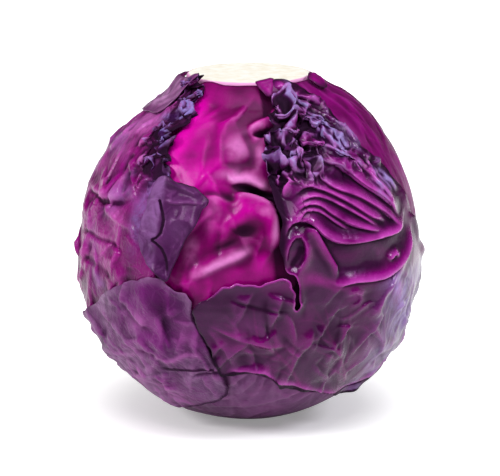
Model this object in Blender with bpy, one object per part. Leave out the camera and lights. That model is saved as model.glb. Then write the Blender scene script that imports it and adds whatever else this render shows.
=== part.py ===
"""A head of red cabbage that stands on its crown, with the cut stem on top.

The head is built from the middle outwards. A lump of tightly packed inner leaves carries the
stem stub, and the loose outer leaves lie over it one on another, each a thin curved sheet of its
own. Directions round the head are given as an azimuth and a polar angle in degrees: azimuth 0 is
the front (-Y) and grows towards the right (+X), and polar angle 0 is straight up the stem.
Lengths are in metres, +Z is up, and the origin is under the middle of the head, where it rests.
"""
import math

import bpy
import numpy as np
from mathutils.geometry import delaunay_2d_cdt

# Driving dimensions
HEAD_WIDTH = 0.1324         # the head across the first layer of outer leaves
HEAD_HEIGHT = 0.1415        # from the rest spot to the cut face
MIDDLE_HEIGHT = 0.0654      # the widest level, where all directions start
SHOULDER_RISE = 0.0786      # half height of the egg shape above the middle, before the stem cuts it
REST_RADIUS = 0.0150        # the small flat spot that the head stands on
STEM_RADIUS = 0.0253        # the cut face of the stem
STEM_LENGTH = 0.0130        # how deep the stub sits in the inner head
LEAF_THICKNESS = 0.0014
MARGIN_THICKNESS = 0.0009   # the leaf at its own edge
LEAF_GAP = 0.00065          # air between two leaves that lie on each other
STEM_CLEARANCE = 0.0003

# How a leaf rides over the edge of one below it
LEVEL_REACH = 0.0090        # it stays at full height this far past the lower edge
RAMP_LENGTH = 0.0350        # and comes down over this length

# Mesh spacing
FIRST_SPACING = 0.0076      # the leaves that lie straight on the inner head
LEAF_SPACING = 0.0064
FOLDED_SPACING = 0.0050
HEAD_SEGMENTS = 36
HEAD_RINGS = 18
STEM_SEGMENTS = 48

LEAF_STEP = LEAF_THICKNESS + LEAF_GAP
HALF_WIDTH = HEAD_WIDTH / 2
CROWN_DROP = MIDDLE_HEIGHT / math.sqrt(1 - (REST_RADIUS / HALF_WIDTH) ** 2)


def unit(vector):
    return vector / np.linalg.norm(vector)


def directions(degrees):
    """Unit vectors for rows of (azimuth, polar angle)."""
    azimuth, polar = np.radians(np.asarray(degrees, float)).T
    across = np.sin(polar)
    return np.stack([across * np.sin(azimuth), -across * np.cos(azimuth), np.cos(polar)], axis=1)


def smooth(value):
    value = np.clip(value, 0, 1)
    return value * value * (3 - 2 * value)


def head_radius(ways):
    """Distance from the middle to the packed inner leaves, one leaf step inside the egg shape."""
    half_width = HALF_WIDTH - LEAF_STEP
    rise = np.where(ways[:, 2] > 0, SHOULDER_RISE, CROWN_DROP) - LEAF_STEP
    across = np.hypot(ways[:, 0], ways[:, 1])
    return 1 / np.sqrt((across / half_width) ** 2 + (ways[:, 2] / rise) ** 2)


def above_floor(ways, radius, clearance):
    """Shorten the radii that would reach below the resting plane."""
    down = np.maximum(-ways[:, 2], 1e-6)
    return np.where(ways[:, 2] < 0, np.minimum(radius, (MIDDLE_HEIGHT - clearance) / down), radius)


def place(ways, radius):
    points = ways * radius[:, None]
    points[:, 2] += MIDDLE_HEIGHT
    return points


def closed_curve(corners, spacing):
    """A smooth closed curve through the corners, in even steps."""
    count = len(corners)
    steps = np.linspace(0, 1, 16, endpoint=False)[:, None]
    curve = []
    for i in range(count):
        before, start, end, after = (corners[(i + k) % count] for k in (-1, 0, 1, 2))
        bend = 2 * before - 5 * start + 4 * end - after
        twist = -before + 3 * start - 3 * end + after
        curve.append(start + 0.5 * ((end - before) * steps + bend * steps ** 2 + twist * steps ** 3))
    curve = np.vstack(curve)
    closed = np.vstack([curve, curve[:1]])
    run = np.concatenate([[0], np.cumsum(np.linalg.norm(np.diff(closed, axis=0), axis=1))])
    marks = np.linspace(0, run[-1], max(12, round(run[-1] / spacing)), endpoint=False)
    return np.stack([np.interp(marks, run, closed[:, axis]) for axis in (0, 1)], axis=1)


def distance_to_path(points, path):
    """Shortest distance from each point to a chain of straight pieces."""
    start, step = path[:-1], np.diff(path, axis=0)
    offset = points[:, None] - start[None]
    share = np.clip((offset * step).sum(2) / np.maximum((step ** 2).sum(1), 1e-12), 0, 1)
    return np.linalg.norm(offset - share[..., None] * step, axis=2).min(axis=1)


def is_inside(points, ring):
    start, end = ring, np.roll(ring, -1, axis=0)
    x, y = points[:, 0, None], points[:, 1, None]
    rise = np.where(end[:, 1] == start[:, 1], 1e-12, end[:, 1] - start[:, 1])
    crossing = start[:, 0] + (y - start[:, 1]) * (end[:, 0] - start[:, 0]) / rise
    return (((start[:, 1] > y) != (end[:, 1] > y)) & (x < crossing)).sum(axis=1) % 2 == 1


class Leaf:
    """One outer leaf: its outline on the head, how far it bellies out, and its folds."""

    def __init__(self, name, outline, colour, belly=0.0, folds=(), spacing=LEAF_SPACING,
                 foot=False, lies_on=None):
        self.name = name
        self.colour = colour
        self.belly = belly
        self.spacing = spacing
        self.foot = foot
        self.lies_on = lies_on
        corners = directions(outline)
        self.middle = unit(corners.mean(axis=0))
        side = np.cross((0, 0, 1), self.middle)
        self.east = unit(side) if np.linalg.norm(side) > 0.05 else np.array([1.0, 0, 0])
        self.north = np.cross(self.middle, self.east)
        self.ring = closed_curve(self.flatten(corners), spacing * 0.8)
        self.folds = [(self.flatten(directions(path)), rise, width) for path, rise, width in folds]

    def flatten(self, ways):
        """Lay directions out flat round the leaf's middle, areas kept."""
        scale = HALF_WIDTH * np.sqrt(2 / (1 + np.maximum(ways @ self.middle, -0.98)))
        return np.stack([scale * (ways @ self.east), scale * (ways @ self.north)], axis=1)

    def lift(self, flat):
        """Directions for points on the flat layout."""
        flat = flat / HALF_WIDTH
        square = (flat ** 2).sum(axis=1)
        lean = np.sqrt(1 - square / 4)[:, None]
        around = flat[:, :1] * self.east + flat[:, 1:] * self.north
        return (1 - square / 2)[:, None] * self.middle + lean * around

    def depth(self, flat):
        """How far inside the outline points lie, below zero outside it."""
        closed = np.vstack([self.ring, self.ring[:1]])
        distance = distance_to_path(flat, closed)
        return np.where(is_inside(flat, self.ring), distance, -distance)

    def swell(self, flat, depth):
        """The leaf's own belly and folds, which add to what it lies on."""
        height = self.belly * smooth(depth / 0.025)
        for path, rise, width in self.folds:
            height = height + rise * np.exp(-(distance_to_path(flat, path) / width) ** 2)
        return height

    def cover(self, ways):
        """What this leaf adds to the height of any leaf that lies over it."""
        flat = self.flatten(ways)
        depth = self.depth(flat)
        full = 1 - smooth((-depth - LEVEL_REACH) / RAMP_LENGTH)
        return full * (LEAF_STEP + self.swell(flat, depth))

    def points(self):
        """Outline and inner points of the leaf's mesh on the flat layout."""
        low, high = self.ring.min(axis=0), self.ring.max(axis=0)
        row = self.spacing * math.sqrt(3) / 2
        rows = np.arange(low[1], high[1], row)
        spots = [(x + (i % 2) * self.spacing / 2, y) for i, y in enumerate(rows)
                 for x in np.arange(low[0], high[0], self.spacing)]
        spots = np.array(spots)
        spots = spots[self.depth(spots) > self.spacing * 0.55]
        if self.foot:
            turns = np.linspace(0, 360, 24, endpoint=False)
            reach = 180 - math.degrees(math.atan(REST_RADIUS / MIDDLE_HEIGHT))
            circle = self.flatten(directions(np.stack([turns, np.full(24, reach)], axis=1)))
            gap = np.linalg.norm(spots[:, None] - circle[None], axis=2).min(axis=1)
            spots = np.vstack([spots[gap > self.spacing * 0.5], circle])
        return np.vstack([self.ring, spots])

    def build(self, laid):
        """Make the leaf's solid, lying over the leaves below it."""
        below = [leaf for leaf in laid if self.lies_on is None or leaf.name in self.lies_on]
        flat = self.points()
        count = len(self.ring)
        result = delaunay_2d_cdt([tuple(p) for p in flat], [], [list(range(count))], 1, 1e-7)
        flat = np.array([tuple(p) for p in result[0]])
        faces = np.array(result[2])
        first, second, third = (flat[faces[:, i]] for i in range(3))
        turn = np.cross(second - first, third - first)
        faces[turn < 0] = faces[turn < 0][:, ::-1]
        ways = self.lift(flat)
        depth = self.depth(flat)
        inner = head_radius(ways) + LEAF_GAP + sum(leaf.cover(ways) for leaf in below)
        inner = inner + self.swell(flat, depth)
        edge = smooth(depth / 0.006)
        outer = inner + MARGIN_THICKNESS + (LEAF_THICKNESS - MARGIN_THICKNESS) * edge
        inner = above_floor(ways, inner, LEAF_THICKNESS)
        outer = above_floor(ways, outer, 0)
        total = len(flat)
        points = np.vstack([place(ways, outer), place(ways, inner)])
        edges = {(a, b) for f in faces.tolist() for a, b in zip(f, f[1:] + f[:1])}
        border = [(a, b) for a, b in edges if (b, a) not in edges]
        sides = [(b, a, a + total, b + total) for a, b in sorted(border)]
        solid = faces.tolist() + [[i + total for i in f[::-1]] for f in faces.tolist()] + sides
        return add_piece(self.name, points, solid, self.colour, 0.42)


def plain_finish(name, colour, roughness):
    """A plain Principled finish in one colour."""
    material = bpy.data.materials.new(name)
    material.use_nodes = True
    shader = material.node_tree.nodes["Principled BSDF"]
    shader.inputs["Base Color"].default_value = (*colour, 1)
    shader.inputs["Roughness"].default_value = roughness
    shader.inputs["Metallic"].default_value = 0
    return material


def add_piece(name, points, faces, colour, roughness):
    mesh = bpy.data.meshes.new(name)
    mesh.from_pydata([tuple(p) for p in points], [], [list(f) for f in faces])
    mesh.update()
    mesh.shade_smooth()
    piece = bpy.data.objects.new(name, mesh)
    mesh.materials.append(plain_finish(name + "_finish", colour, roughness))
    bpy.context.scene.collection.objects.link(piece)
    return piece


def turned(name, profile, segments, colour, roughness):
    """A solid turned round the stem's axis; the profile runs from axis to axis, top to bottom."""
    angles = np.linspace(0, 2 * math.pi, segments, endpoint=False)
    rings = profile[1:-1]
    points = [(0, 0, profile[0][1])]
    for radius, height in rings:
        points += [(radius * math.cos(a), radius * math.sin(a), height) for a in angles]
    points.append((0, 0, profile[-1][1]))
    last = len(points) - 1
    faces = []
    for i in range(segments):
        j = (i + 1) % segments
        faces.append((0, 1 + i, 1 + j))
        for k in range(len(rings) - 1):
            top, low = 1 + k * segments, 1 + (k + 1) * segments
            faces.append((top + i, low + i, low + j, top + j))
        low = 1 + (len(rings) - 1) * segments
        faces.append((low + i, last, low + j))
    return add_piece(name, points, faces, colour, roughness)


def inner_head():
    """The packed inner leaves, with a socket at the top for the stem stub."""
    socket = STEM_RADIUS + STEM_CLEARANCE
    floor = HEAD_HEIGHT - STEM_LENGTH - STEM_CLEARANCE
    profile = [(0, floor), (socket, floor)]
    start = 21.2
    foot = LEAF_THICKNESS + LEAF_GAP
    for polar in np.linspace(start, 180, HEAD_RINGS)[:-1]:
        way = directions([(90, polar)])
        x, _, z = place(way, above_floor(way, head_radius(way), foot))[0]
        profile.append((x, z))
    profile.append((0, foot))
    return turned("inner_head", profile, HEAD_SEGMENTS, (0.30, 0.02, 0.16), 0.5)


def stem():
    """The stub of the stem, cut flat, with its bark edge a little rounded."""
    round_off = 0.0006
    low = HEAD_HEIGHT - STEM_LENGTH
    profile = [(0, HEAD_HEIGHT), (STEM_RADIUS - round_off, HEAD_HEIGHT),
               (STEM_RADIUS, HEAD_HEIGHT - round_off), (STEM_RADIUS, low), (0, low)]
    return turned("stem", profile, STEM_SEGMENTS, (0.90, 0.86, 0.78), 0.6)


def front_leaf():
    outline = [(-42, 21.5), (-20, 21), (5, 21), (20, 21.5), (26, 34), (27, 55), (27, 80), (10, 98),
               (-10, 101), (-28, 98), (-42, 82), (-48, 60), (-50, 38)]
    return Leaf("front_leaf", outline, (0.48, 0.01, 0.25), belly=0.0016, spacing=FIRST_SPACING)


def right_leaf():
    outline = [(22, 21.5), (45, 21), (75, 21), (105, 21.5), (122, 40), (124, 70), (118, 100),
               (95, 116), (60, 112), (34, 92), (22, 65), (18, 40)]
    return Leaf("right_leaf", outline, (0.30, 0.03, 0.20), belly=0.0012, spacing=FIRST_SPACING)


def back_leaf():
    outline = [(118, 21.5), (150, 21), (185, 21), (220, 21.5), (236, 40), (243, 68), (238, 98),
               (215, 118), (180, 122), (142, 118), (118, 98), (108, 68), (110, 40)]
    return Leaf("back_leaf", outline, (0.30, 0.04, 0.20), belly=0.0014, spacing=FIRST_SPACING)


def left_leaf():
    outline = [(-41, 21.5), (-33, 30), (-34, 40), (-35, 52), (-34, 62), (-31, 78), (-34, 96), (-60, 110),
               (-92, 110), (-118, 96), (-128, 68), (-124, 40), (-112, 21.5), (-80, 21), (-58, 21)]
    return Leaf("left_leaf", outline, (0.30, 0.04, 0.20), belly=0.0016)


def bottom_leaf():
    outline = [(-40, 112), (-15, 108), (15, 108), (45, 114), (70, 120), (100, 126), (130, 122),
               (160, 128), (190, 124), (220, 130), (250, 124), (280, 126), (300, 118)]
    return Leaf("bottom_leaf", outline, (0.22, 0.10, 0.17), foot=True)


def back_left_leaf():
    outline = [(-112, 70), (-128, 52), (-150, 45), (-168, 58), (-176, 84), (-172, 112), (-158, 126),
               (-132, 130), (-108, 120), (-98, 104)]
    return Leaf("back_left_leaf", outline, (0.25, 0.05, 0.18))


def back_right_leaf():
    outline = [(112, 48), (134, 40), (158, 48), (174, 70), (180, 98), (170, 120), (146, 128),
               (120, 124), (100, 112), (98, 84)]
    return Leaf("back_right_leaf", outline, (0.25, 0.05, 0.18))


def lower_left_leaf():
    outline = [(-49, 91), (-40, 88), (-31, 85), (-26, 88), (-20, 91), (-18, 99), (-14, 108),
               (-12, 116), (-16, 130), (-40, 143), (-72, 143), (-98, 130), (-108, 112), (-98, 98),
               (-80, 93), (-62, 93)]
    return Leaf("lower_left_leaf", outline, (0.20, 0.05, 0.15), spacing=FOLDED_SPACING * 1.3)


def ruffled_leaf():
    """The big outer leaf on the right, whose upper half has crumpled into folds."""
    margin = [(13, 24), (10, 29), (8, 35), (7, 44), (8, 54), (10, 66), (11, 78), (6, 85), (-6, 86),
              (-14, 92), (-14, 98), (-11, 106), (-8, 114), (-2, 118), (8, 120), (20, 126), (34, 130),
              (50, 134), (70, 130), (88, 118), (94, 104), (84, 90), (73, 76), (69, 64), (56, 52),
              (44, 42), (35, 31), (29, 24)]
    folds = [([(12, 68), (18, 59), (30, 58), (46, 66), (60, 74)], 0.0035, 0.0035),
             ([(14, 76), (18, 67), (26, 65), (40, 71), (56, 76)], 0.0030, 0.0030),
             ([(14, 84), (17, 74), (24, 74), (32, 84), (46, 87), (58, 84)], 0.0035, 0.0030),
             ([(24, 50), (34, 54), (48, 60)], 0.0030, 0.0035),
             ([(12, 30), (22, 34), (30, 44)], 0.0025, 0.0050)]
    return Leaf("ruffled_leaf", margin, (0.26, 0.02, 0.17), folds=folds, spacing=FOLDED_SPACING)


def torn_flap():
    outline = [(-33, 55), (-22, 56.5), (-15, 60), (-17, 67), (-21, 75), (-25, 83), (-31, 82),
               (-37, 77), (-40, 68), (-40, 59)]
    return Leaf("torn_flap", outline, (0.14, 0.06, 0.13), spacing=FOLDED_SPACING)


def left_shoulder_leaf():
    outline = [(-48, 24), (-56, 29), (-66, 34), (-84, 35), (-104, 34), (-120, 29), (-112, 24.5),
               (-84, 24), (-62, 24)]
    return Leaf("left_shoulder_leaf", outline, (0.28, 0.10, 0.22), spacing=FOLDED_SPACING,
                lies_on=("front_leaf", "right_leaf", "back_leaf", "left_leaf"))


def leaf_scale():
    outline = [(1, 21), (-1, 23.5), (0, 26), (4.5, 25), (6, 22.5), (5, 21)]
    return Leaf("leaf_scale", outline, (0.32, 0.03, 0.22), spacing=0.0022, lies_on=("front_leaf",))


def rim_scale():
    outline = [(58, 21.2), (66, 21), (74, 21.2), (73, 24), (66, 26), (59, 24)]
    return Leaf("rim_scale", outline, (0.14, 0.02, 0.10), spacing=0.0026,
                lies_on=("front_leaf", "right_leaf"))


def centre_on_origin(pieces):
    """Slide all pieces so that the origin is under the middle of the head's box."""
    corners = np.array([vertex.co for piece in pieces for vertex in piece.data.vertices])
    middle = (corners.min(axis=0) + corners.max(axis=0)) / 2
    for piece in pieces:
        for vertex in piece.data.vertices:
            vertex.co.x -= middle[0]
            vertex.co.y -= middle[1]


for old in list(bpy.data.objects):
    bpy.data.objects.remove(old, do_unlink=True)

solids = [inner_head(), stem()]
laid = []
for make in (front_leaf, right_leaf, back_leaf, left_leaf, bottom_leaf, back_left_leaf, back_right_leaf,
             lower_left_leaf, ruffled_leaf, torn_flap, left_shoulder_leaf, leaf_scale, rim_scale):
    leaf = make()
    solids.append(leaf.build(laid))
    laid.append(leaf)
centre_on_origin(solids)
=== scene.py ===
import math

import bpy
import numpy as np
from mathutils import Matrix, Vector
from mathutils.geometry import delaunay_2d_cdt


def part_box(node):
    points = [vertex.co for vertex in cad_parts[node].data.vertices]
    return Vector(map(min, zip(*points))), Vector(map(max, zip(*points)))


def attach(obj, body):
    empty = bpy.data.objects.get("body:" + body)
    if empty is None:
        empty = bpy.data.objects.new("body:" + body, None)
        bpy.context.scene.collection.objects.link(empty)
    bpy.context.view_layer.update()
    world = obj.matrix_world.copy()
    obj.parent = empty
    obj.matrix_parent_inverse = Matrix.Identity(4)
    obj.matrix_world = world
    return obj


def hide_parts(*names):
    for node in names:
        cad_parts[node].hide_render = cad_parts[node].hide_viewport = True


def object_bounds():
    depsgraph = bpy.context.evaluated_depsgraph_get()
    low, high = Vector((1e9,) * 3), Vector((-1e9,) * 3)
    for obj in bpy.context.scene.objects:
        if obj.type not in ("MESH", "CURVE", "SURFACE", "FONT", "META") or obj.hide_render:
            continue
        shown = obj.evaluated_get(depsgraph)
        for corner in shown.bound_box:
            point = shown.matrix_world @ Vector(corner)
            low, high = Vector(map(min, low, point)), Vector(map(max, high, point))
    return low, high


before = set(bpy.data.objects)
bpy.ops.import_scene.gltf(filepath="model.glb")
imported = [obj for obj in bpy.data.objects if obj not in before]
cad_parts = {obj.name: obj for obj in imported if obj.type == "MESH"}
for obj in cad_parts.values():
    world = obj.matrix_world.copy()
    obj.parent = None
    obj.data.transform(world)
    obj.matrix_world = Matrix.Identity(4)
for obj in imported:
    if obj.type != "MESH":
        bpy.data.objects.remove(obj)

cad_box = [list(corner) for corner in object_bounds()]

# The studio: a white floor and surround with soft lamps over the head's left and right shoulders
# and straight above it. The paper floor glows white to the lens as painted light, and glows less
# right under the head as a painted contact shadow. The camera stands a little above the head and
# looks at its middle.
head_top = cad_box[1][2]
LOOK_AT = Vector((0, 0, head_top * 0.513))


def from_middle(azimuth, elevation, distance):
    """A place in the studio; azimuth 0 is in front of the head and 90 to its right."""
    turn, lift = math.radians(azimuth), math.radians(elevation)
    flat = math.cos(lift)
    return LOOK_AT + distance * Vector((flat * math.sin(turn), -flat * math.cos(turn), math.sin(lift)))


def aim(thing, place):
    thing.location = place
    thing.rotation_euler = (LOOK_AT - place).to_track_quat("-Z", "Y").to_euler()
    bpy.context.scene.collection.objects.link(thing)


def soft_sun(name, azimuth, elevation, spread, strength, colour=(1, 1, 1)):
    lamp = bpy.data.lights.new(name, "SUN")
    lamp.angle = math.radians(spread)
    lamp.energy = strength
    lamp.color = colour
    aim(bpy.data.objects.new(name, lamp), from_middle(azimuth, elevation, 1.5))


def wire(tree, kind, feeds, **settings):
    """A shader node with its settings; feeds are its inputs, each a value or another's output."""
    made = tree.nodes.new("ShaderNode" + kind)
    for setting, value in settings.items():
        setattr(made, setting, value)
    for socket, value in feeds.items():
        if isinstance(value, bpy.types.NodeSocket):
            tree.links.new(value, made.inputs[socket])
        else:
            made.inputs[socket].default_value = value
    return made


soft_sun("left_light", -62, 32, 17, 1.6)
soft_sun("right_light", 62, 38, 17, 1.4, (0.93, 0.96, 1.0))
soft_sun("top_light", 8, 72, 50, 2.2)

lens = bpy.data.cameras.new("camera")
lens.sensor_width = 36
lens.lens = 192.7
lens.clip_end = 50
camera = bpy.data.objects.new("camera", lens)
aim(camera, from_middle(0, 13.2, 1.1))
bpy.context.scene.camera = camera
bpy.context.scene.view_settings.view_transform = "Standard"

ROOM_GLOW = 0.07
surround = bpy.data.worlds.new("white_surround")
surround.use_nodes = True
bpy.context.scene.world = surround
sky = surround.node_tree
seen = sky.nodes["Background"]
seen.inputs["Color"].default_value = (1, 1, 1, 1)
glow = wire(sky, "Background", {"Color": (1, 1, 1, 1), "Strength": ROOM_GLOW})
ray = wire(sky, "LightPath", {})
pick = wire(sky, "MixShader", {0: ray.outputs["Is Camera Ray"], 1: glow.outputs[0], 2: seen.outputs[0]})
sky.links.new(pick.outputs[0], sky.nodes["World Output"].inputs[0])

FLOOR_REACH = 12.0
floor_mesh = bpy.data.meshes.new("studio_floor")
corners = [(x * FLOOR_REACH, y * FLOOR_REACH, 0) for x, y in ((-1, -1), (1, -1), (1, 1), (-1, 1))]
floor_mesh.from_pydata(corners, [], [(0, 1, 2, 3)])
floor = bpy.data.objects.new("studio_floor", floor_mesh)
bpy.context.scene.collection.objects.link(floor)
paper = bpy.data.materials.new("white_floor")
paper.use_nodes = True
sheet = paper.node_tree
paper_shader = sheet.nodes["Principled BSDF"]
paper_shader.inputs["Base Color"].default_value = (0.9, 0.9, 0.9, 1)
paper_shader.inputs["Roughness"].default_value = 0.9
paper_shader.inputs["Specular IOR Level"].default_value = 0.1
paper_ray = wire(sheet, "LightPath", {})
paper_glow = wire(sheet, "MapRange", {"Value": paper_ray.outputs["Is Camera Ray"],
                                      "To Min": 0.25, "To Max": 1.0})
sheet.links.new(paper_glow.outputs[0], paper_shader.inputs["Emission Strength"])
spot = wire(sheet, "TexCoord", {})
reach = wire(sheet, "VectorMath", {0: spot.outputs["Object"]}, operation="LENGTH")
floor_shadow_fade = wire(sheet, "MapRange", {"Value": reach.outputs["Value"], "From Min": 0.02, "From Max": 0.092,
                                "To Min": 0.26, "To Max": 0.62}, interpolation_type="SMOOTHSTEP")
sheet.links.new(floor_shadow_fade.outputs[0], paper_shader.inputs["Emission Color"])
floor_mesh.materials.append(paper)

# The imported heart: the tight ball of inner leaves. Only its skin shows, dark, where the loose
# leaves part. Every leaf after it is laid over this shape.
MM = 0.001
heart_low, heart_high = (np.array(corner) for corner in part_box("inner_head"))
AXIS = (heart_low + heart_high) / 2
MIDDLE_HEIGHT = 0.0654
HEART_HALF = (heart_high[0] - heart_low[0]) / 2 + 1.6 * MM
HEART_RISE = 76.9 * MM
REST_RADIUS = 15 * MM
NECK_CLIMB = 2.9 * MM
LOPSIDED = (((-92, 30), 0.26, -2.2), ((-90, 84), 0.70, 2.6), ((92, 34), 0.32, 3.0), ((88, 68), 0.4, 2.0))
LEAF_THICKNESS = 1.1 * MM
LEAF_GAP = 0.35 * MM
HEART_DROP = MIDDLE_HEIGHT / math.sqrt(1 - (REST_RADIUS / HEART_HALF) ** 2) - LEAF_THICKNESS - LEAF_GAP


def smooth(value):
    value = np.clip(value, 0, 1)
    return value * value * (3 - 2 * value)


def directions(degrees):
    """Unit vectors for rows of azimuth, seen from the front, and angle down from the stem."""
    azimuth, polar = np.radians(np.asarray(degrees, float)).T
    across = np.sin(polar)
    return np.stack([across * np.sin(azimuth), -across * np.cos(azimuth), np.cos(polar)], axis=1)


def angles(ways):
    """The other way round: azimuth and angle down from the stem, in degrees, for unit vectors."""
    return (np.degrees(np.arctan2(ways[:, 0], -ways[:, 1])),
            np.degrees(np.arccos(np.clip(ways[:, 2], -1, 1))))


def heart_radius(ways):
    """The radius every leaf is laid on; it climbs a little up the stem's side at the neck."""
    rise = np.where(ways[:, 2] > 0, HEART_RISE, HEART_DROP)
    across = np.hypot(ways[:, 0], ways[:, 1])
    neck = NECK_CLIMB * smooth((ways[:, 2] - 0.885) / 0.06) * (1 - 0.35 * smooth(ways[:, 1] / 0.15))
    lopsided = sum(swell * MM * np.exp(((ways @ directions([spot])[0]) - 1) / wide ** 2 * 2)
                   for spot, wide, swell in LOPSIDED) * smooth((0.945 - ways[:, 2]) / 0.07)
    return 1 / np.sqrt((across / HEART_HALF) ** 2 + (ways[:, 2] / rise) ** 2) + neck + lopsided


def above_floor(ways, radius, clearance):
    down = np.maximum(-ways[:, 2], 1e-6)
    return np.where(ways[:, 2] < 0, np.minimum(radius, (MIDDLE_HEIGHT - clearance) / down), radius)


def place(ways, radius):
    points = ways * radius[:, None]
    points[:, 0] += AXIS[0]
    points[:, 1] += AXIS[1]
    points[:, 2] += MIDDLE_HEIGHT
    return points


def grain(points, size, seed):
    """Smooth noise from -1 to 1, with bumps of about the given size."""
    spot = points / size + seed * 17.31
    cell = np.floor(spot).astype(np.int64)
    part = spot - cell
    ease = part * part * (3 - 2 * part)
    total = np.zeros(len(points))
    for corner in np.ndindex(2, 2, 2):
        x, y, z = (cell + corner).T
        mixed = (x * 73856093) ^ (y * 19349663) ^ (z * 83492791) ^ (seed * 2654435)
        mixed = ((mixed ^ (mixed >> 13)) * 1274126177) & 0xFFFFFFFF
        value = ((mixed ^ (mixed >> 15)) & 0xFFFF) / 32767.5 - 1
        total += value * np.where(corner, ease, 1 - ease).prod(axis=1)
    return total


def layered(points, size, seed, layers=3):
    """Noise with finer layers added at half the size and half the strength."""
    return sum(grain(points, size / 2 ** k, seed + k) / 2 ** k for k in range(layers))


def creased(points, size, seed, layers=2):
    """Noise that folds along sharp lines, as crumpled leaf does; 0 to 1, with 1 on the creases."""
    return sum((1 - np.abs(grain(points, size / 2 ** k, seed + k)) * 2) / 2 ** k
               for k in range(layers)) / (2 - 0.5 ** (layers - 1))


def shaped(name, points, faces, marks=None):
    """A mesh object with its painted marks, one value for each point."""
    mesh = bpy.data.meshes.new(name)
    mesh.from_pydata(points.tolist(), [], faces)
    mesh.update()
    mesh.shade_smooth()
    for mark, values in (marks or {}).items():
        layer = mesh.attributes.new(mark, "FLOAT", "POINT")
        layer.data.foreach_set("value", np.ascontiguousarray(values, np.float32))
    piece = bpy.data.objects.new(name, mesh)
    bpy.context.scene.collection.objects.link(piece)
    return piece


def hand_over(piece, node, finish):
    """Dress the piece, and let it stand for its CAD node."""
    piece.data.materials.append(finish)
    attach(piece, "root")
    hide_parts(node)


def turned_faces(rings, segments):
    faces = []
    for i in range(segments):
        j = (i + 1) % segments
        faces.append((0, 1 + i, 1 + j))
        for k in range(rings - 1):
            top, low = 1 + k * segments, 1 + (k + 1) * segments
            faces.append((top + i, low + i, low + j, top + j))
        low = 1 + (rings - 1) * segments
        faces.append((low + i, 1 + rings * segments, low + j))
    return faces


def srgb(red, green, blue):
    """A colour as the eye names it, 0 to 255, in the shader's own units."""
    return tuple(((c / 255 + 0.055) / 1.055) ** 2.4 if c > 10 else c / 255 / 12.92
                 for c in (red, green, blue)) + (1.0,)


# Tints for painted shade in hollows and for painted shadow in cracks.
PAINTED_SHADE_TINT = (0.16, 0.05, 0.15, 1)
CRACK_SHADOW_TINT = (0.1, 0.1, 0.1, 1)
WAX_TINT = (0.82, 0.24, 0.86, 1)


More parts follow.
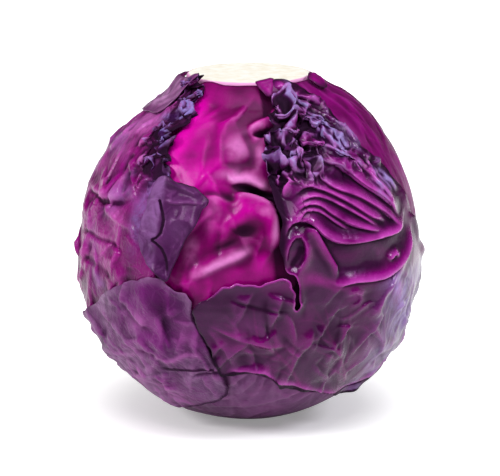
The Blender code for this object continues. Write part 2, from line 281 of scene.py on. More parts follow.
def leaf_colour_group():
    """How a red cabbage leaf is coloured: two flesh colours in soft clouds, pale blots (partly painted
    highlights on ridges), paler veins with a fine net between them, a waxy bloom and a dry edge, which
    some leaves make near black as a painted shadow line. Wrinkle ridges are painted lighter as a
    painted highlight. Painted shade darkens the hollows and takes their gloss; past 1 it is painted
    shadow in cracks, almost black."""
    group = bpy.data.node_groups.new("leaf_colour", "ShaderNodeTree")
    face = group.interface
    for name in ("Deep", "Bright", "Pale", "Vein Colour", "Bloom Colour", "Edge Colour"):
        face.new_socket(name, in_out="INPUT", socket_type="NodeSocketColor")
    for name, value in (("Cloud Size", 30), ("Vein", 0), ("Patch", 0), ("Bloom", 0), ("Edge", 0),
                        ("Hollow", 0), ("Vivid", 0), ("Net", 0.3), ("Wrinkle", 0.5),
                        ("Base Roughness", 0.35)):
        face.new_socket(name, in_out="INPUT", socket_type="NodeSocketFloat").default_value = value
    face.new_socket("Color", in_out="OUTPUT", socket_type="NodeSocketColor")
    for name in ("Roughness", "Height", "Gloss"):
        face.new_socket(name, in_out="OUTPUT", socket_type="NodeSocketFloat")
    nodes, links = group.nodes, group.links
    given = nodes.new("NodeGroupInput").outputs
    result = nodes.new("NodeGroupOutput").inputs
    where = wire(group, "TexCoord", {}).outputs["Object"]

    def sum_up(kind, *terms, clamp=False):
        return wire(group, "Math", dict(enumerate(terms)), operation=kind, use_clamp=clamp).outputs[0]

    def blend(kind, share, first, second):
        return wire(group, "Mix", {"Factor": share, "A": first, "B": second}, data_type="RGBA",
                    blend_type=kind).outputs["Result"]

    def cloud(scale, detail, roughness=0.5, twist=0.0, kind="FBM"):
        return wire(group, "TexNoise", {"Vector": where, "Scale": scale, "Detail": detail,
                                        "Roughness": roughness, "Distortion": twist},
                    noise_type=kind).outputs[0]

    def between(value, low, high):
        return wire(group, "MapRange", {"Value": value, "From Min": low, "From Max": high},
                    interpolation_type="SMOOTHSTEP").outputs[0]

    wide = cloud(given["Cloud Size"], 3, 0.55, 0.8)
    fine = cloud(420, 4, 0.6)
    speck = cloud(1500, 2, 0.5)
    lively = sum_up("MULTIPLY_ADD", between(wide, 0.34, 0.66), 0.6, given["Vivid"], clamp=True)
    colour = blend("MIX", lively, given["Deep"], given["Bright"])
    uneven = sum_up("MULTIPLY", given["Patch"], between(cloud(90, 3), 0.2, 0.6))
    colour = blend("MIX", sum_up("MULTIPLY", uneven, 0.8, clamp=True), colour, given["Pale"])
    drift = wire(group, "TexNoise", {"Vector": where, "Scale": 60})
    bent = wire(group, "VectorMath", {0: drift.outputs["Color"], 1: (0.012, 0.012, 0.012), 2: where},
                operation="MULTIPLY_ADD")
    mesh_lines = wire(group, "TexVoronoi", {"Scale": 150, "Vector": bent.outputs[0]},
                      feature="DISTANCE_TO_EDGE")
    net_line = sum_up("SUBTRACT", 1.0, between(mesh_lines.outputs["Distance"], 0.0, 0.09))
    net = sum_up("MULTIPLY", net_line, given["Net"])
    strong = sum_up("MAXIMUM", given["Vein"], net)
    colour = blend("MIX", sum_up("MULTIPLY", strong, 0.5, clamp=True), colour, given["Vein Colour"])
    dusty = sum_up("MULTIPLY", given["Bloom"], between(cloud(55, 5, 0.65, 1.2), 0.3, 0.72))
    colour = blend("MIX", sum_up("MULTIPLY", dusty, 1.0, clamp=True), colour, given["Bloom Colour"])
    colour = blend("MIX", sum_up("MULTIPLY", given["Edge"], 0.85, clamp=True), colour,
                   given["Edge Colour"])
    # Painted shade: the hollows are darkened, and past 1 the cracks go almost black as painted shadow.
    shade = sum_up("MULTIPLY", given["Hollow"], 1.0, clamp=True)
    colour = blend("MULTIPLY", shade, colour, PAINTED_SHADE_TINT)
    crack = sum_up("SUBTRACT", given["Hollow"], 1.0, clamp=True)
    colour = blend("MULTIPLY", crack, colour, CRACK_SHADOW_TINT)
    ridge = between(cloud(95, 4, 0.55, 1.1, "RIDGED_MULTIFRACTAL"), 0.3, 1.4)
    # Painted highlight: the wrinkle ridges of the bump are painted lighter.
    lit = sum_up("MULTIPLY_ADD", sum_up("MULTIPLY", ridge, given["Wrinkle"]), 0.9, 0.64)
    tone = wire(group, "HueSaturation", {"Value": sum_up("MULTIPLY_ADD", fine, 0.30, lit),
                                         "Saturation": 1.08, "Color": colour})
    links.new(tone.outputs[0], result["Color"])
    rough = sum_up("MULTIPLY_ADD", dusty, 0.25, given["Base Roughness"])
    rough = sum_up("MULTIPLY_ADD", fine, 0.16, rough)
    rough = sum_up("MULTIPLY_ADD", shade, 0.35, rough)
    links.new(sum_up("SUBTRACT", rough, 0.08, clamp=True), result["Roughness"])
    links.new(sum_up("SUBTRACT", 1.0, shade, clamp=True), result["Gloss"])
    height = sum_up("MULTIPLY", sum_up("ADD", ridge, cloud(190, 3, 0.6, 1.2)), given["Wrinkle"])
    height = sum_up("MULTIPLY_ADD", strong, 0.35, height)
    links.new(sum_up("MULTIPLY_ADD", speck, 0.10, height), result["Height"])
    return group


LEAF_COLOUR = leaf_colour_group()
MARKS = ("vein", "patch", "bloom", "edge", "hollow", "vivid")


def leaf_finish(name, deep, bright, pale, vein, edge, bloom=(190, 160, 192), cloud=30, net=0.3,
                wrinkle=0.5, roughness=0.35, coat=0.25, relief=0.35, shine=0.45):
    """A leaf's finish: the shared colouring with this leaf's own colours, under a thin coat of wax
    that lifts off where painted shade lies."""
    finish = bpy.data.materials.new(name)
    finish.use_nodes = True
    tree, links = finish.node_tree, finish.node_tree.links
    shader = tree.nodes["Principled BSDF"]
    colouring = wire(tree, "Group", {}, node_tree=LEAF_COLOUR)
    for socket, colour in (("Deep", deep), ("Bright", bright), ("Pale", pale), ("Vein Colour", vein),
                           ("Edge Colour", edge), ("Bloom Colour", bloom)):
        colouring.inputs[socket].default_value = srgb(*colour)
    for socket, value in (("Cloud Size", cloud), ("Net", net), ("Wrinkle", wrinkle),
                          ("Base Roughness", roughness)):
        colouring.inputs[socket].default_value = value
    for mark in MARKS:
        painted = wire(tree, "Attribute", {}, attribute_name=mark)
        links.new(painted.outputs["Fac"], colouring.inputs[mark.capitalize()])
    bump = wire(tree, "Bump", {"Strength": relief, "Distance": 1.2 * MM,
                               "Height": colouring.outputs["Height"]})
    links.new(colouring.outputs["Color"], shader.inputs["Base Color"])
    links.new(colouring.outputs["Roughness"], shader.inputs["Roughness"])
    links.new(bump.outputs[0], shader.inputs["Normal"])
    shader.inputs["Specular IOR Level"].default_value = shine
    shader.inputs["Specular Tint"].default_value = WAX_TINT
    waxed = wire(tree, "Math", {0: colouring.outputs["Gloss"], 1: coat}, operation="MULTIPLY")
    links.new(waxed.outputs[0], shader.inputs["Coat Weight"])
    shader.inputs["Coat Roughness"].default_value = 0.16
    shader.inputs["Coat IOR"].default_value = 1.35
    return finish


FRONT_DENT = 5 * MM            # the heart falls in a little where the front leaf shows
HEART_SHADE = 0.5              # the whole skin lies in the leaves' shade


def packed_heart():
    segments, rings = 120, 70
    turns = np.linspace(0, 360, segments, endpoint=False)
    drops = np.linspace(19.5, 176, rings)
    grid = np.array([(turn, drop) for drop in drops for turn in turns])
    ways = directions(np.vstack([[(0, 0)], grid, [(0, 180)]]))
    radius = heart_radius(ways) + 0.5 * MM * layered(ways * 70 * MM, 22 * MM, 3)
    azimuth, polar = angles(ways)
    radius -= FRONT_DENT * np.exp(-((azimuth + 5) / 24) ** 2 - ((polar - 58) / 28) ** 2)
    radius = above_floor(ways, radius, LEAF_THICKNESS + LEAF_GAP)
    radius[0] = head_top - MIDDLE_HEIGHT - 9 * MM
    points = place(ways, radius)
    hollow = np.full(len(points), HEART_SHADE)
    return shaped("packed_heart", points, turned_faces(rings, segments), {"hollow": hollow})


heart_finish = leaf_finish(
    "heart_skin", (36, 2, 27), (64, 4, 50), (80, 20, 66), (70, 10, 58), (30, 2, 22), roughness=0.5,
    coat=0.1)
hand_over(packed_heart(), "inner_head", heart_finish)

# The stem stub: cream pith cut straight across, with a thin pink rim of bark that runs down into
# the bases of the leaves. The cut is faintly ringed and fibrous.
stem_low, stem_high = (np.array(corner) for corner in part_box("stem"))
STEM_RADIUS = (stem_high[0] - stem_low[0]) / 2
STEM_AXIS = (stem_low + stem_high) / 2


def stem_stub():
    segments = 160
    cut = [(STEM_RADIUS * share, 0) for share in np.linspace(0.06, 0.93, 15)]
    side = [(0.960, -0.05), (0.982, -0.2), (0.996, -0.6), (1.004, -1.1), (1.012, -1.9), (1.025, -3.0),
            (1.035, -4.6), (1.01, -7.0), (0.99, -12.9)]
    profile = cut + [(STEM_RADIUS * share, drop * MM) for share, drop in side]
    turns = np.linspace(0, 2 * math.pi, segments, endpoint=False)
    points = [(0, 0, 0)]
    rim = [0.0]
    for radius, drop in profile:
        ring = np.stack([np.cos(turns), np.sin(turns), np.zeros(segments)], axis=1)
        wander = 0.35 * MM * grain(ring * 25 * MM, 9 * MM, 5) * smooth(radius / STEM_RADIUS)
        dip = 0.12 * MM * grain(ring * radius, 3 * MM, 8) if drop > -0.1 * MM else 0
        ring = ring * (radius + wander)[:, None]
        ring[:, 2] = drop - np.abs(dip)
        points += ring.tolist()
        rim += [float(smooth((radius / STEM_RADIUS - 0.955) / 0.03))] * segments
    points.append((0, 0, -12.9 * MM))
    rim.append(1.0)
    points = np.array(points) + (STEM_AXIS[0], STEM_AXIS[1], stem_high[2])
    return shaped("stem_stub", points, turned_faces(len(profile), segments), {"rim": np.array(rim)})


def cut_pith():
    finish = bpy.data.materials.new("cut_pith")
    finish.use_nodes = True
    tree, links = finish.node_tree, finish.node_tree.links
    shader = tree.nodes["Principled BSDF"]
    rim = wire(tree, "Attribute", {}, attribute_name="rim")
    spot = wire(tree, "TexCoord", {})
    fibre = wire(tree, "TexNoise", {"Vector": spot.outputs["Object"], "Scale": 260, "Detail": 5})
    ramp = wire(tree, "ValToRGB", {0: fibre.outputs[0]})
    for end, position, cream in ((0, 0.3, (238, 230, 212)), (1, 0.7, (250, 247, 240))):
        ramp.color_ramp.elements[end].position = position
        ramp.color_ramp.elements[end].color = srgb(*cream)
    bark = wire(tree, "Mix", {"Factor": rim.outputs["Fac"], "A": ramp.outputs[0],
                              "B": srgb(226, 150, 205)}, data_type="RGBA")
    links.new(bark.outputs["Result"], shader.inputs["Base Color"])
    bump = wire(tree, "Bump", {"Strength": 0.25, "Distance": 0.4 * MM, "Height": fibre.outputs[0]})
    links.new(bump.outputs[0], shader.inputs["Normal"])
    shader.inputs["Roughness"].default_value = 0.55
    return finish


hand_over(stem_stub(), "stem", cut_pith())

# The front leaf: the innermost of the loose leaves, smooth, glossy and hot magenta, with pale
# blots. It hangs from the stem's rim, dents in under the upper right and bellies out below.
LAID = []
DEFAULT_SPACING = 0.85 * MM
GRID_STEP = 1.0 * MM
DRAPE = 3                      # how far a leaf bridges past what lies under it, in grid steps
THINNEST = 0.3 * MM            # a leaf at its edge, and the room an edge keeps over the floor


def bent_line(corners, spacing, closed=False):
    """A smooth curve through the corners, in even steps."""
    corners = np.asarray(corners, float)
    count = len(corners)
    ends = (corners[0] * 2 - corners[1], corners[-1] * 2 - corners[-2])
    padded = np.vstack([corners[-1:], corners, corners[:2]] if closed
                       else [ends[:1], corners, ends[1:]])
    share = np.linspace(0, 1, 16, endpoint=False)[:, None]
    curve = []
    for i in range(count if closed else count - 1):
        before, start, end, after = padded[i:i + 4]
        bend = 2 * before - 5 * start + 4 * end - after
        twist = -before + 3 * start - 3 * end + after
        curve.append(start + 0.5 * ((end - before) * share + bend * share ** 2 + twist * share ** 3))
    curve = np.vstack(curve + [corners[:1] if closed else corners[-1:]])
    run = np.concatenate([[0], np.cumsum(np.linalg.norm(np.diff(curve, axis=0), axis=1))])
    marks = np.linspace(0, run[-1], max(3, round(run[-1] / spacing)) + 1)
    line = np.stack([np.interp(marks, run, curve[:, axis]) for axis in (0, 1)], axis=1)
    return line[:-1] if closed else line


def nearest(flat, path):
    """Distance to a path, plus on its left and minus on its right, the share along it, and its left."""
    start, step = path[:-1], np.diff(path, axis=0)
    length = np.linalg.norm(step, axis=1)
    left = np.stack([-step[:, 1], step[:, 0]], axis=1) / length[:, None]
    run = np.concatenate([[0], np.cumsum(length)])
    best_distance = np.full(len(flat), 9.0)
    along = np.zeros(len(flat))
    side = np.ones(len(flat))
    pointer = np.zeros((len(flat), 2))
    for i in range(len(start)):
        offset = flat - start[i]
        share = np.clip(offset @ step[i] / length[i] ** 2, 0, 1)
        gap = offset - share[:, None] * step[i]
        distance = np.hypot(gap[:, 0], gap[:, 1])
        closer = distance < best_distance
        best_distance[closer] = distance[closer]
        along[closer] = (run[i] + share[closer] * length[i]) / run[-1]
        side[closer] = np.where(offset[closer] @ left[i] >= 0, 1, -1)
        pointer[closer] = left[i]
    return best_distance * side, along, pointer


class Leaf:
    """A loose leaf: its outline laid flat round its own middle, and how it lies on those below."""

    def __init__(self, name, outline, spacing=DEFAULT_SPACING, ragged=0.5, curl=1.0,
                 thickness=LEAF_THICKNESS, sink=0.0, hug=0.0, fine=None, seed=1):
        self.name = name
        self.spacing = spacing
        self.curl = curl
        self.thickness = thickness
        self.sink = sink
        self.hug = hug
        self.fine = fine
        self.seed = seed
        corners = directions(outline)
        middle = corners.mean(axis=0)
        self.middle = middle / np.linalg.norm(middle)
        side = np.cross((0, 0, 1), self.middle)
        length = np.linalg.norm(side)
        self.east = side / length if length > 0.05 else np.array([1.0, 0, 0])
        self.north = np.cross(self.middle, self.east)
        ring = bent_line(self.flatten(corners), spacing, closed=True)
        ahead = np.roll(ring, -1, axis=0) - np.roll(ring, 1, axis=0)
        outward = np.stack([ahead[:, 1], -ahead[:, 0]], axis=1) / np.linalg.norm(ahead, axis=1)[:, None]
        spots = np.column_stack([ring, np.zeros(len(ring))])
        bite = 0.8 * layered(spots, 9 * MM, seed) + 0.7 * grain(spots, 2.6 * MM, seed + 5)
        calm = smooth((self.lift(ring)[:, 2] * -1 + 0.90) / 0.12)
        self.ring = ring + outward * (bite * ragged * MM * calm)[:, None]
        self.line_up()

    def flatten(self, ways):
        scale = HEART_HALF * np.sqrt(2 / (1 + np.maximum(ways @ self.middle, -0.98)))
        return np.stack([scale * (ways @ self.east), scale * (ways @ self.north)], axis=1)

    def lift(self, flat):
        flat = flat / HEART_HALF
        square = np.minimum((flat ** 2).sum(axis=1), 3.9)
        around = flat[:, :1] * self.east + flat[:, 1:] * self.north
        return (1 - square / 2)[:, None] * self.middle + np.sqrt(1 - square / 4)[:, None] * around

    def line(self, degrees):
        """A smooth path over the leaf through places given as azimuth and polar angle."""
        return bent_line(self.flatten(directions(degrees)), 2.5 * MM)

    def in_fine(self, flat):
        """Which places lie in the oval that is meshed at half the spacing."""
        azimuth, polar = angles(self.lift(flat))
        middle, level, wide, tall = self.fine
        return ((azimuth - middle) / wide) ** 2 + ((polar - level) / tall) ** 2 < 1

    def line_up(self):
        """Measure how deep inside the outline each step of a fine grid lies."""
        pad = 8 * MM
        self.grid_low = self.ring.min(axis=0) - pad
        size = np.ceil((self.ring.max(axis=0) + pad - self.grid_low) / GRID_STEP).astype(int) + 1
        self.grid_size = size
        x, y = np.meshgrid(np.arange(size[0]), np.arange(size[1]), indexing="ij")
        self.grid_flat = self.grid_low + np.stack([x.ravel(), y.ravel()], axis=1) * GRID_STEP
        best = np.full(len(self.grid_flat), 9.0)
        inside = np.zeros(len(self.grid_flat), bool)
        px, py = self.grid_flat.T
        start, end = self.ring, np.roll(self.ring, -1, axis=0)
        for (ax, ay), (bx, by) in zip(start, end):
            dx, dy = bx - ax, by - ay
            share = np.clip(((px - ax) * dx + (py - ay) * dy) / (dx * dx + dy * dy + 1e-18), 0, 1)
            gap = (px - ax - share * dx) ** 2 + (py - ay - share * dy) ** 2
            best = np.minimum(best, gap)
            if ay != by:
                crosses = ((ay > py) != (by > py)) & (px < ax + (py - ay) * dx / dy)
                inside ^= crosses
        self.depth_grid = (np.sqrt(best) * np.where(inside, 1, -1)).reshape(size)

    def read(self, grid, flat, outside):
        """Look a value up on the fine grid, between its steps."""
        spot = (flat - self.grid_low) / GRID_STEP
        off = (spot < 0).any(axis=1) | (spot >= self.grid_size - 1).any(axis=1)
        spot = np.clip(spot, 0, self.grid_size - 1.001)
        cell = spot.astype(int)
        x, y = (spot - cell).T
        i, j = cell.T
        value = ((grid[i, j] * (1 - x) + grid[i + 1, j] * x) * (1 - y)
                 + (grid[i, j + 1] * (1 - x) + grid[i + 1, j + 1] * x) * y)
        return np.where(off, outside, value)

    def cover(self, ways):
        """How far this leaf lifts whatever is laid over it."""
        facing = ways @ self.middle > -0.5
        lifted = np.zeros(len(ways))
        lifted[facing] = self.read(self.cover_grid, self.flatten(ways[facing]), 0.0)
        return lifted


class Spots:
    """Places on a leaf, ready for shaping and painting. The six marks are what the finish reads.
    The edge and curl shares say how dry and how lifted the edge is (on some leaves the edge is near
    black as a painted shadow line), and sag lets the leaf drop, in millimetres. The dents and ridges
    paint their own light: the dents get painted shade, crest weighs the painted highlight that pales
    the ridges, frost the bloom painted on them as a highlight, and swing how much brighter the broad
    ridges are painted, a painted highlight."""

    def __init__(self, leaf, flat):
        self.leaf = leaf
        self.flat = flat
        self.ways = leaf.lift(flat)
        self.round = self.ways * HEART_HALF
        self.azimuth, self.polar = angles(self.ways)
        self.depth = leaf.read(leaf.depth_grid, flat, -9 * MM)
        self.height = np.zeros(len(flat))
        self.shift = np.zeros((len(flat), 2))
        for mark in MARKS + ("frost", "sag"):
            setattr(self, mark, np.zeros(len(flat)))
        for share in ("edge_share", "curl_share", "crest", "swing"):
            setattr(self, share, np.ones(len(flat)))

    def blot(self, azimuth, polar, wide, tall, tilt=0.0):
        """A soft oval, 1 in its middle; sizes in millimetres, tilt in degrees from level."""
        spot = self.flat - self.leaf.flatten(directions([(azimuth, polar)]))
        turn = math.radians(tilt)
        x = spot @ (math.cos(turn), math.sin(turn))
        y = spot @ (-math.sin(turn), math.cos(turn))
        return np.exp(-(x / wide / MM) ** 2 - (y / tall / MM) ** 2)

    def bump(self, azimuth, polar, wide, tall, rise, tilt=0.0):
        self.height += rise * MM * self.blot(azimuth, polar, wide, tall, tilt)

    def below(self, polar, width):
        """0 above the given angle down from the stem, rising to 1 over the width. The three after it
        do the same upwards and to either side, all in degrees."""
        return smooth((self.polar - polar) / width)

    def above(self, polar, width):
        return smooth((polar - self.polar) / width)

    def right_of(self, azimuth, width):
        return smooth((self.azimuth - azimuth) / width)

    def left_of(self, azimuth, width):
        return smooth((azimuth - self.azimuth) / width)

    def margin(self, width, start=0):
        """1 along the leaf's edge, falling to 0 deeper in; both in millimetres."""
        return 1 - smooth((self.depth - start * MM) / (width * MM))

    def blots(self, *rows):
        """Soft ovals added up, each a strength and then what blot takes."""
        return sum(strength * self.blot(*row) for strength, *row in rows)

    def swell(self, rise, reach, rough, size, seed, layers=3):
        """Belly the leaf out from its edge, over soft unevenness of its own."""
        self.height += (rise * MM * smooth(self.depth / (reach * MM))
                        + rough * MM * layered(self.round, size * MM, seed, layers))

    def near(self, path, reach):
        """Which places lie in the path's own box, widened by the reach."""
        low, high = path.min(axis=0) - reach, path.max(axis=0) + reach
        return ((self.flat > low) & (self.flat < high)).all(axis=1)

    def fold(self, degrees, rise, steep, gentle, lean=0.6, ends=0.2, groove_shade=0.0, ridge_highlight=0.0):
        """A fold along a path: steep on the path's right, where painted shade may darken the furrow, and
        gentle on its left. Its ridge may be paled as a painted highlight, and is whenever the furrow is
        shaded."""
        path = self.leaf.line(degrees)
        near = self.near(path, 3 * max(steep, gentle) * MM)
        distance, along, left = nearest(self.flat[near], path)
        taper = smooth(along / ends) * smooth((1 - along) / ends)
        width = np.where(distance > 0, gentle, steep) * MM
        height = rise * MM * taper * np.exp(-(distance / width) ** 2)
        self.height[near] += height
        self.shift[near] -= left * (height * lean)[:, None]
        if groove_shade:
            dark = np.exp(-((distance / MM + 1.5 * steep) / (0.8 * steep)) ** 2)
            self.hollow[near] += groove_shade * taper * dark
            ridge_highlight += 0.7
        if ridge_highlight:
            self.patch[near] += ridge_highlight * taper * np.exp(-(distance / MM / (0.5 * gentle)) ** 2)

    def stroke(self, degrees, width, ends=0.15):
        """A painted line, 1 along its middle."""
        path = self.leaf.line(degrees)
        near = self.near(path, 3 * width * MM)
        distance, along, _ = nearest(self.flat[near], path)
        line = np.zeros(len(self.flat))
        taper = smooth(along / ends + 0.2) * smooth((1 - along) / ends)
        line[near] = taper * np.exp(-(distance / (width * MM)) ** 2)
        return line

    def crumple(self, share, rise, size, seed, sway=0.6):
        """Crush the leaf: sharp creases up and down, and the same sideways."""
        self.height += share * rise * MM * (creased(self.round, size * MM, seed) - 0.3)
        for axis in (0, 1):
            push = layered(self.round, size * MM, seed + 11 + axis, 2)
            self.shift[:, axis] += share * sway * rise * MM * push


def wrinkles(spots, seed, count, azimuths, polars, length=(12, 30), rise=0.8, slant=90, share=None,
             ridge_highlight=0.0):
    """Long sharp creases in a window of the leaf, most running near the slant, degrees from level;
    their ridges may be paled as a painted highlight.
    """
    rng = np.random.default_rng(seed)
    before = spots.height.copy()
    for _ in range(count):
        azimuth, polar = rng.uniform(*azimuths), rng.uniform(*polars)
        heading = math.radians(slant + rng.normal(0, 28) + (90 if rng.random() < 0.25 else 0))
        reach = rng.uniform(*length) / 2
        ahead = np.array([math.cos(heading), math.sin(heading)])
        aside = np.array([-ahead[1], ahead[0]])
        middle = spots.leaf.flatten(directions([(azimuth, polar)]))[0] / MM
        sway = rng.normal(0, 0.13, 2) * reach
        path = [middle - ahead * reach, middle - ahead * reach * 0.4 + aside * sway[0],
                middle + ahead * reach * 0.3 + aside * sway[1], middle + ahead * reach]
        ways = spots.leaf.lift(np.array(path) * MM)
        degrees = np.degrees([np.arctan2(ways[:, 0], -ways[:, 1]), np.arccos(ways[:, 2])]).T
        steep = rng.uniform(0.45, 0.9)
        spots.fold(degrees, rise * rng.uniform(0.5, 1.2) * rng.choice((1, 1, -0.8)), steep,
                   steep * rng.uniform(2.5, 5.0), lean=0.3, ends=0.35, ridge_highlight=ridge_highlight * rng.uniform(0, 1))
    if share is not None:
        spots.height = before + (spots.height - before) * share


def branches(rng, start, heading, length, width, forks, spread=0.6):
    """A vein with its side veins, each a path with its width in millimetres."""
    steps = 9
    path = [np.array(start, float)]
    headings = [heading]
    sway = rng.uniform(-0.35, 0.35)
    for _ in range(steps):
        heading += sway / steps + rng.normal(0, 0.05)
        path.append(path[-1] + length / steps * np.array([math.cos(heading), math.sin(heading)]))
        headings.append(heading)
    veins = [(np.array(path), width)]
    if forks:
        for k in range(1, steps - 1):
            side = 1 if k % 2 else -1
            part = length * (0.62 - 0.5 * k / steps) * rng.uniform(0.8, 1.2)
            turn = headings[k] + side * spread * rng.uniform(0.8, 1.2)
            veins += branches(rng, path[k], turn, part, width * 0.6, forks - 1, spread)
    return veins


def draw_veins(spots, roots, seed, forks=2, relief=0.35, spread=0.6):
    """Grow veins from roots, each (azimuth, polar, azimuth and polar it heads for, width)."""
    rng = np.random.default_rng(seed)
    vein = spots.vein
    raised = np.zeros(len(vein))
    for azimuth, polar, to_azimuth, to_polar, width in roots:
        start, end = spots.leaf.flatten(directions([(azimuth, polar), (to_azimuth, to_polar)]))
        run = end - start
        heading = math.atan2(run[1], run[0])
        for path, wide in branches(rng, start, heading, np.linalg.norm(run), width, forks, spread):
            near = np.flatnonzero(spots.near(path, wide * 2.5 * MM))
            if len(near) == 0:
                continue
            distance, along, _ = nearest(spots.flat[near], path)
            strength = (1 - 0.7 * along) * np.exp(-(distance / (wide * MM)) ** 2)
            vein[near] = np.maximum(vein[near], strength * min(1, 0.35 + wide / 1.6))
            raised[near] = np.maximum(raised[near], strength * wide)
    spots.height += raised * relief * MM


def widest(grid, reach):
    """Each step takes the highest value found within reach steps."""
    result = grid.copy()
    for dx in range(-reach, reach + 1):
        for dy in range(-reach, reach + 1):
            if dx * dx + dy * dy <= reach * reach + 1:
                result = np.maximum(result, np.roll(grid, (dx, dy), axis=(0, 1)))
    return result


def softened(grid, sigma):
    reach = int(3 * sigma)
    weights = np.exp(-0.5 * (np.arange(-reach, reach + 1) / sigma) ** 2)
    weights /= weights.sum()
    for axis in (0, 1):
        grid = sum(w * np.roll(grid, k - reach, axis=axis) for k, w in enumerate(weights))
    return grid


def hollows(faces, values, rounds=10):
    """How far each point lies below its surroundings, from repeated averaging over the mesh."""
    pairs = np.concatenate([faces[:, [0, 1]], faces[:, [1, 2]], faces[:, [2, 0]]])
    pairs = np.concatenate([pairs, pairs[:, ::-1]])
    count = np.maximum(np.bincount(pairs[:, 0], minlength=len(values)), 1)
    around = values
    for _ in range(rounds):
        around = np.bincount(pairs[:, 0], weights=around[pairs[:, 1]], minlength=len(values)) / count
    return around - values


def settled(height, sink):
    """Ease heights to a stop above whatever lies below; sink is the room left for dents."""
    raised = height + sink
    return 0.5 * (raised + np.sqrt(raised ** 2 + (0.7 * MM) ** 2)) - sink


def hexagons(leaf, step):
    """Points all over the inside of the leaf, each with six neighbours one step away."""
    low, high = leaf.ring.min(axis=0), leaf.ring.max(axis=0)
    y = np.arange(low[1], high[1], step * math.sqrt(3) / 2)
    x = np.arange(low[0], high[0], step)
    lattice = np.stack(np.meshgrid(x, y, indexing="ij"), axis=2).transpose(1, 0, 2)
    lattice[1::2, :, 0] += step / 2
    lattice = lattice.reshape(-1, 2)
    return lattice[leaf.read(leaf.depth_grid, lattice, -1.0) > step * 0.6]


def lay_leaf(leaf, shape, node, finish, foot=False):
    """Mesh the leaf, lay it over those below, and remember how it lifts those to come."""
    step = leaf.spacing
    lattice = hexagons(leaf, step)
    if leaf.fine:
        close = hexagons(leaf, step / 2)
        lattice = np.vstack([lattice[~leaf.in_fine(lattice)], close[leaf.in_fine(close)]])
    flat = np.vstack([leaf.ring, lattice])
    made = delaunay_2d_cdt([Vector(p) for p in flat], [], [list(range(len(leaf.ring)))], 1, 1e-7)
    flat = np.array([tuple(p) for p in made[0]])
    faces = np.array(made[2])
    first, second, third = (flat[faces[:, i]] for i in range(3))
    clockwise = np.cross(second - first, third - first) < 0
    faces[clockwise] = faces[clockwise][:, ::-1]
    spots = Spots(leaf, flat)
    shape(spots)
    spots.height = settled(spots.height, leaf.sink)
    waver = 0.7 + 0.8 * grain(spots.round, 6 * MM, leaf.seed + 3)
    lifted = spots.margin(4) * spots.below(24, 8)
    rim_lift = leaf.curl * MM * lifted * waver * spots.curl_share
    base = heart_radius(spots.ways) + LEAF_GAP - leaf.hug + sum(under.cover(spots.ways) for under in LAID)
    top = base + spots.height + rim_lift + leaf.thickness - spots.sag * MM
    thin = leaf.thickness * (0.45 + 0.55 * smooth(spots.depth / (3 * MM)))
    ways = leaf.lift(flat + spots.shift)
    outer = above_floor(ways, top, 0.0 if foot else THINNEST)
    inner = above_floor(ways, np.minimum(top, outer) - thin, leaf.thickness)
    points = np.vstack([place(ways, outer), place(ways, np.minimum(inner, outer - THINNEST))])
    # Painted light from the relief: painted shade in the dips, a painted highlight paling the crests and,
    # where frost is set, bloom on them; broad ridges painted brighter and broad valleys darker.
    sunken = hollows(faces, spots.height) / MM
    spots.hollow += np.clip(sunken * (0.8 + 0.5 * spots.crest), -0.7, 0.95)
    spots.patch += np.clip(-0.7 * sunken, 0, 0.6) * spots.crest
    spots.bloom += np.clip(-1.6 * sunken, 0, 1) * spots.frost
    broad = hollows(faces, spots.height, 70) / MM
    spots.vivid -= np.clip(0.45 * broad, -0.5, 0.5) * spots.swing
    spots.hollow += np.clip(0.35 * broad, 0, 0.6)
    # The dry edge; where a leaf's edge colour is near black it is a painted shadow line.
    rim = spots.margin(0.9) * spots.edge_share
    spots.edge = np.maximum(spots.edge, rim)
    total = len(flat)
    pairs = np.concatenate([faces[:, [0, 1]], faces[:, [1, 2]], faces[:, [2, 0]]])
    known = set(map(tuple, pairs.tolist()))
    border = [(a, b) for a, b in known if (b, a) not in known]
    sides = [(b, a, a + total, b + total) for a, b in sorted(border)]
    solid = faces.tolist() + (faces[:, ::-1] + total).tolist() + sides
    marks = {mark: np.tile(getattr(spots, mark), 2) for mark in MARKS}
    piece = shaped(leaf.name, points, solid, marks)
    hand_over(piece, node, finish)
    felt = Spots(leaf, leaf.grid_flat)
    shape(felt)
    height = settled(felt.height, leaf.sink) + leaf.thickness + LEAF_GAP
    height = height.reshape(leaf.grid_size)
    height = np.where(leaf.depth_grid > -0.3 * MM, np.maximum(height, 0), 0)
    leaf.cover_grid = softened(widest(height, DRAPE), 2.0)
    LAID.append(leaf)
    return piece


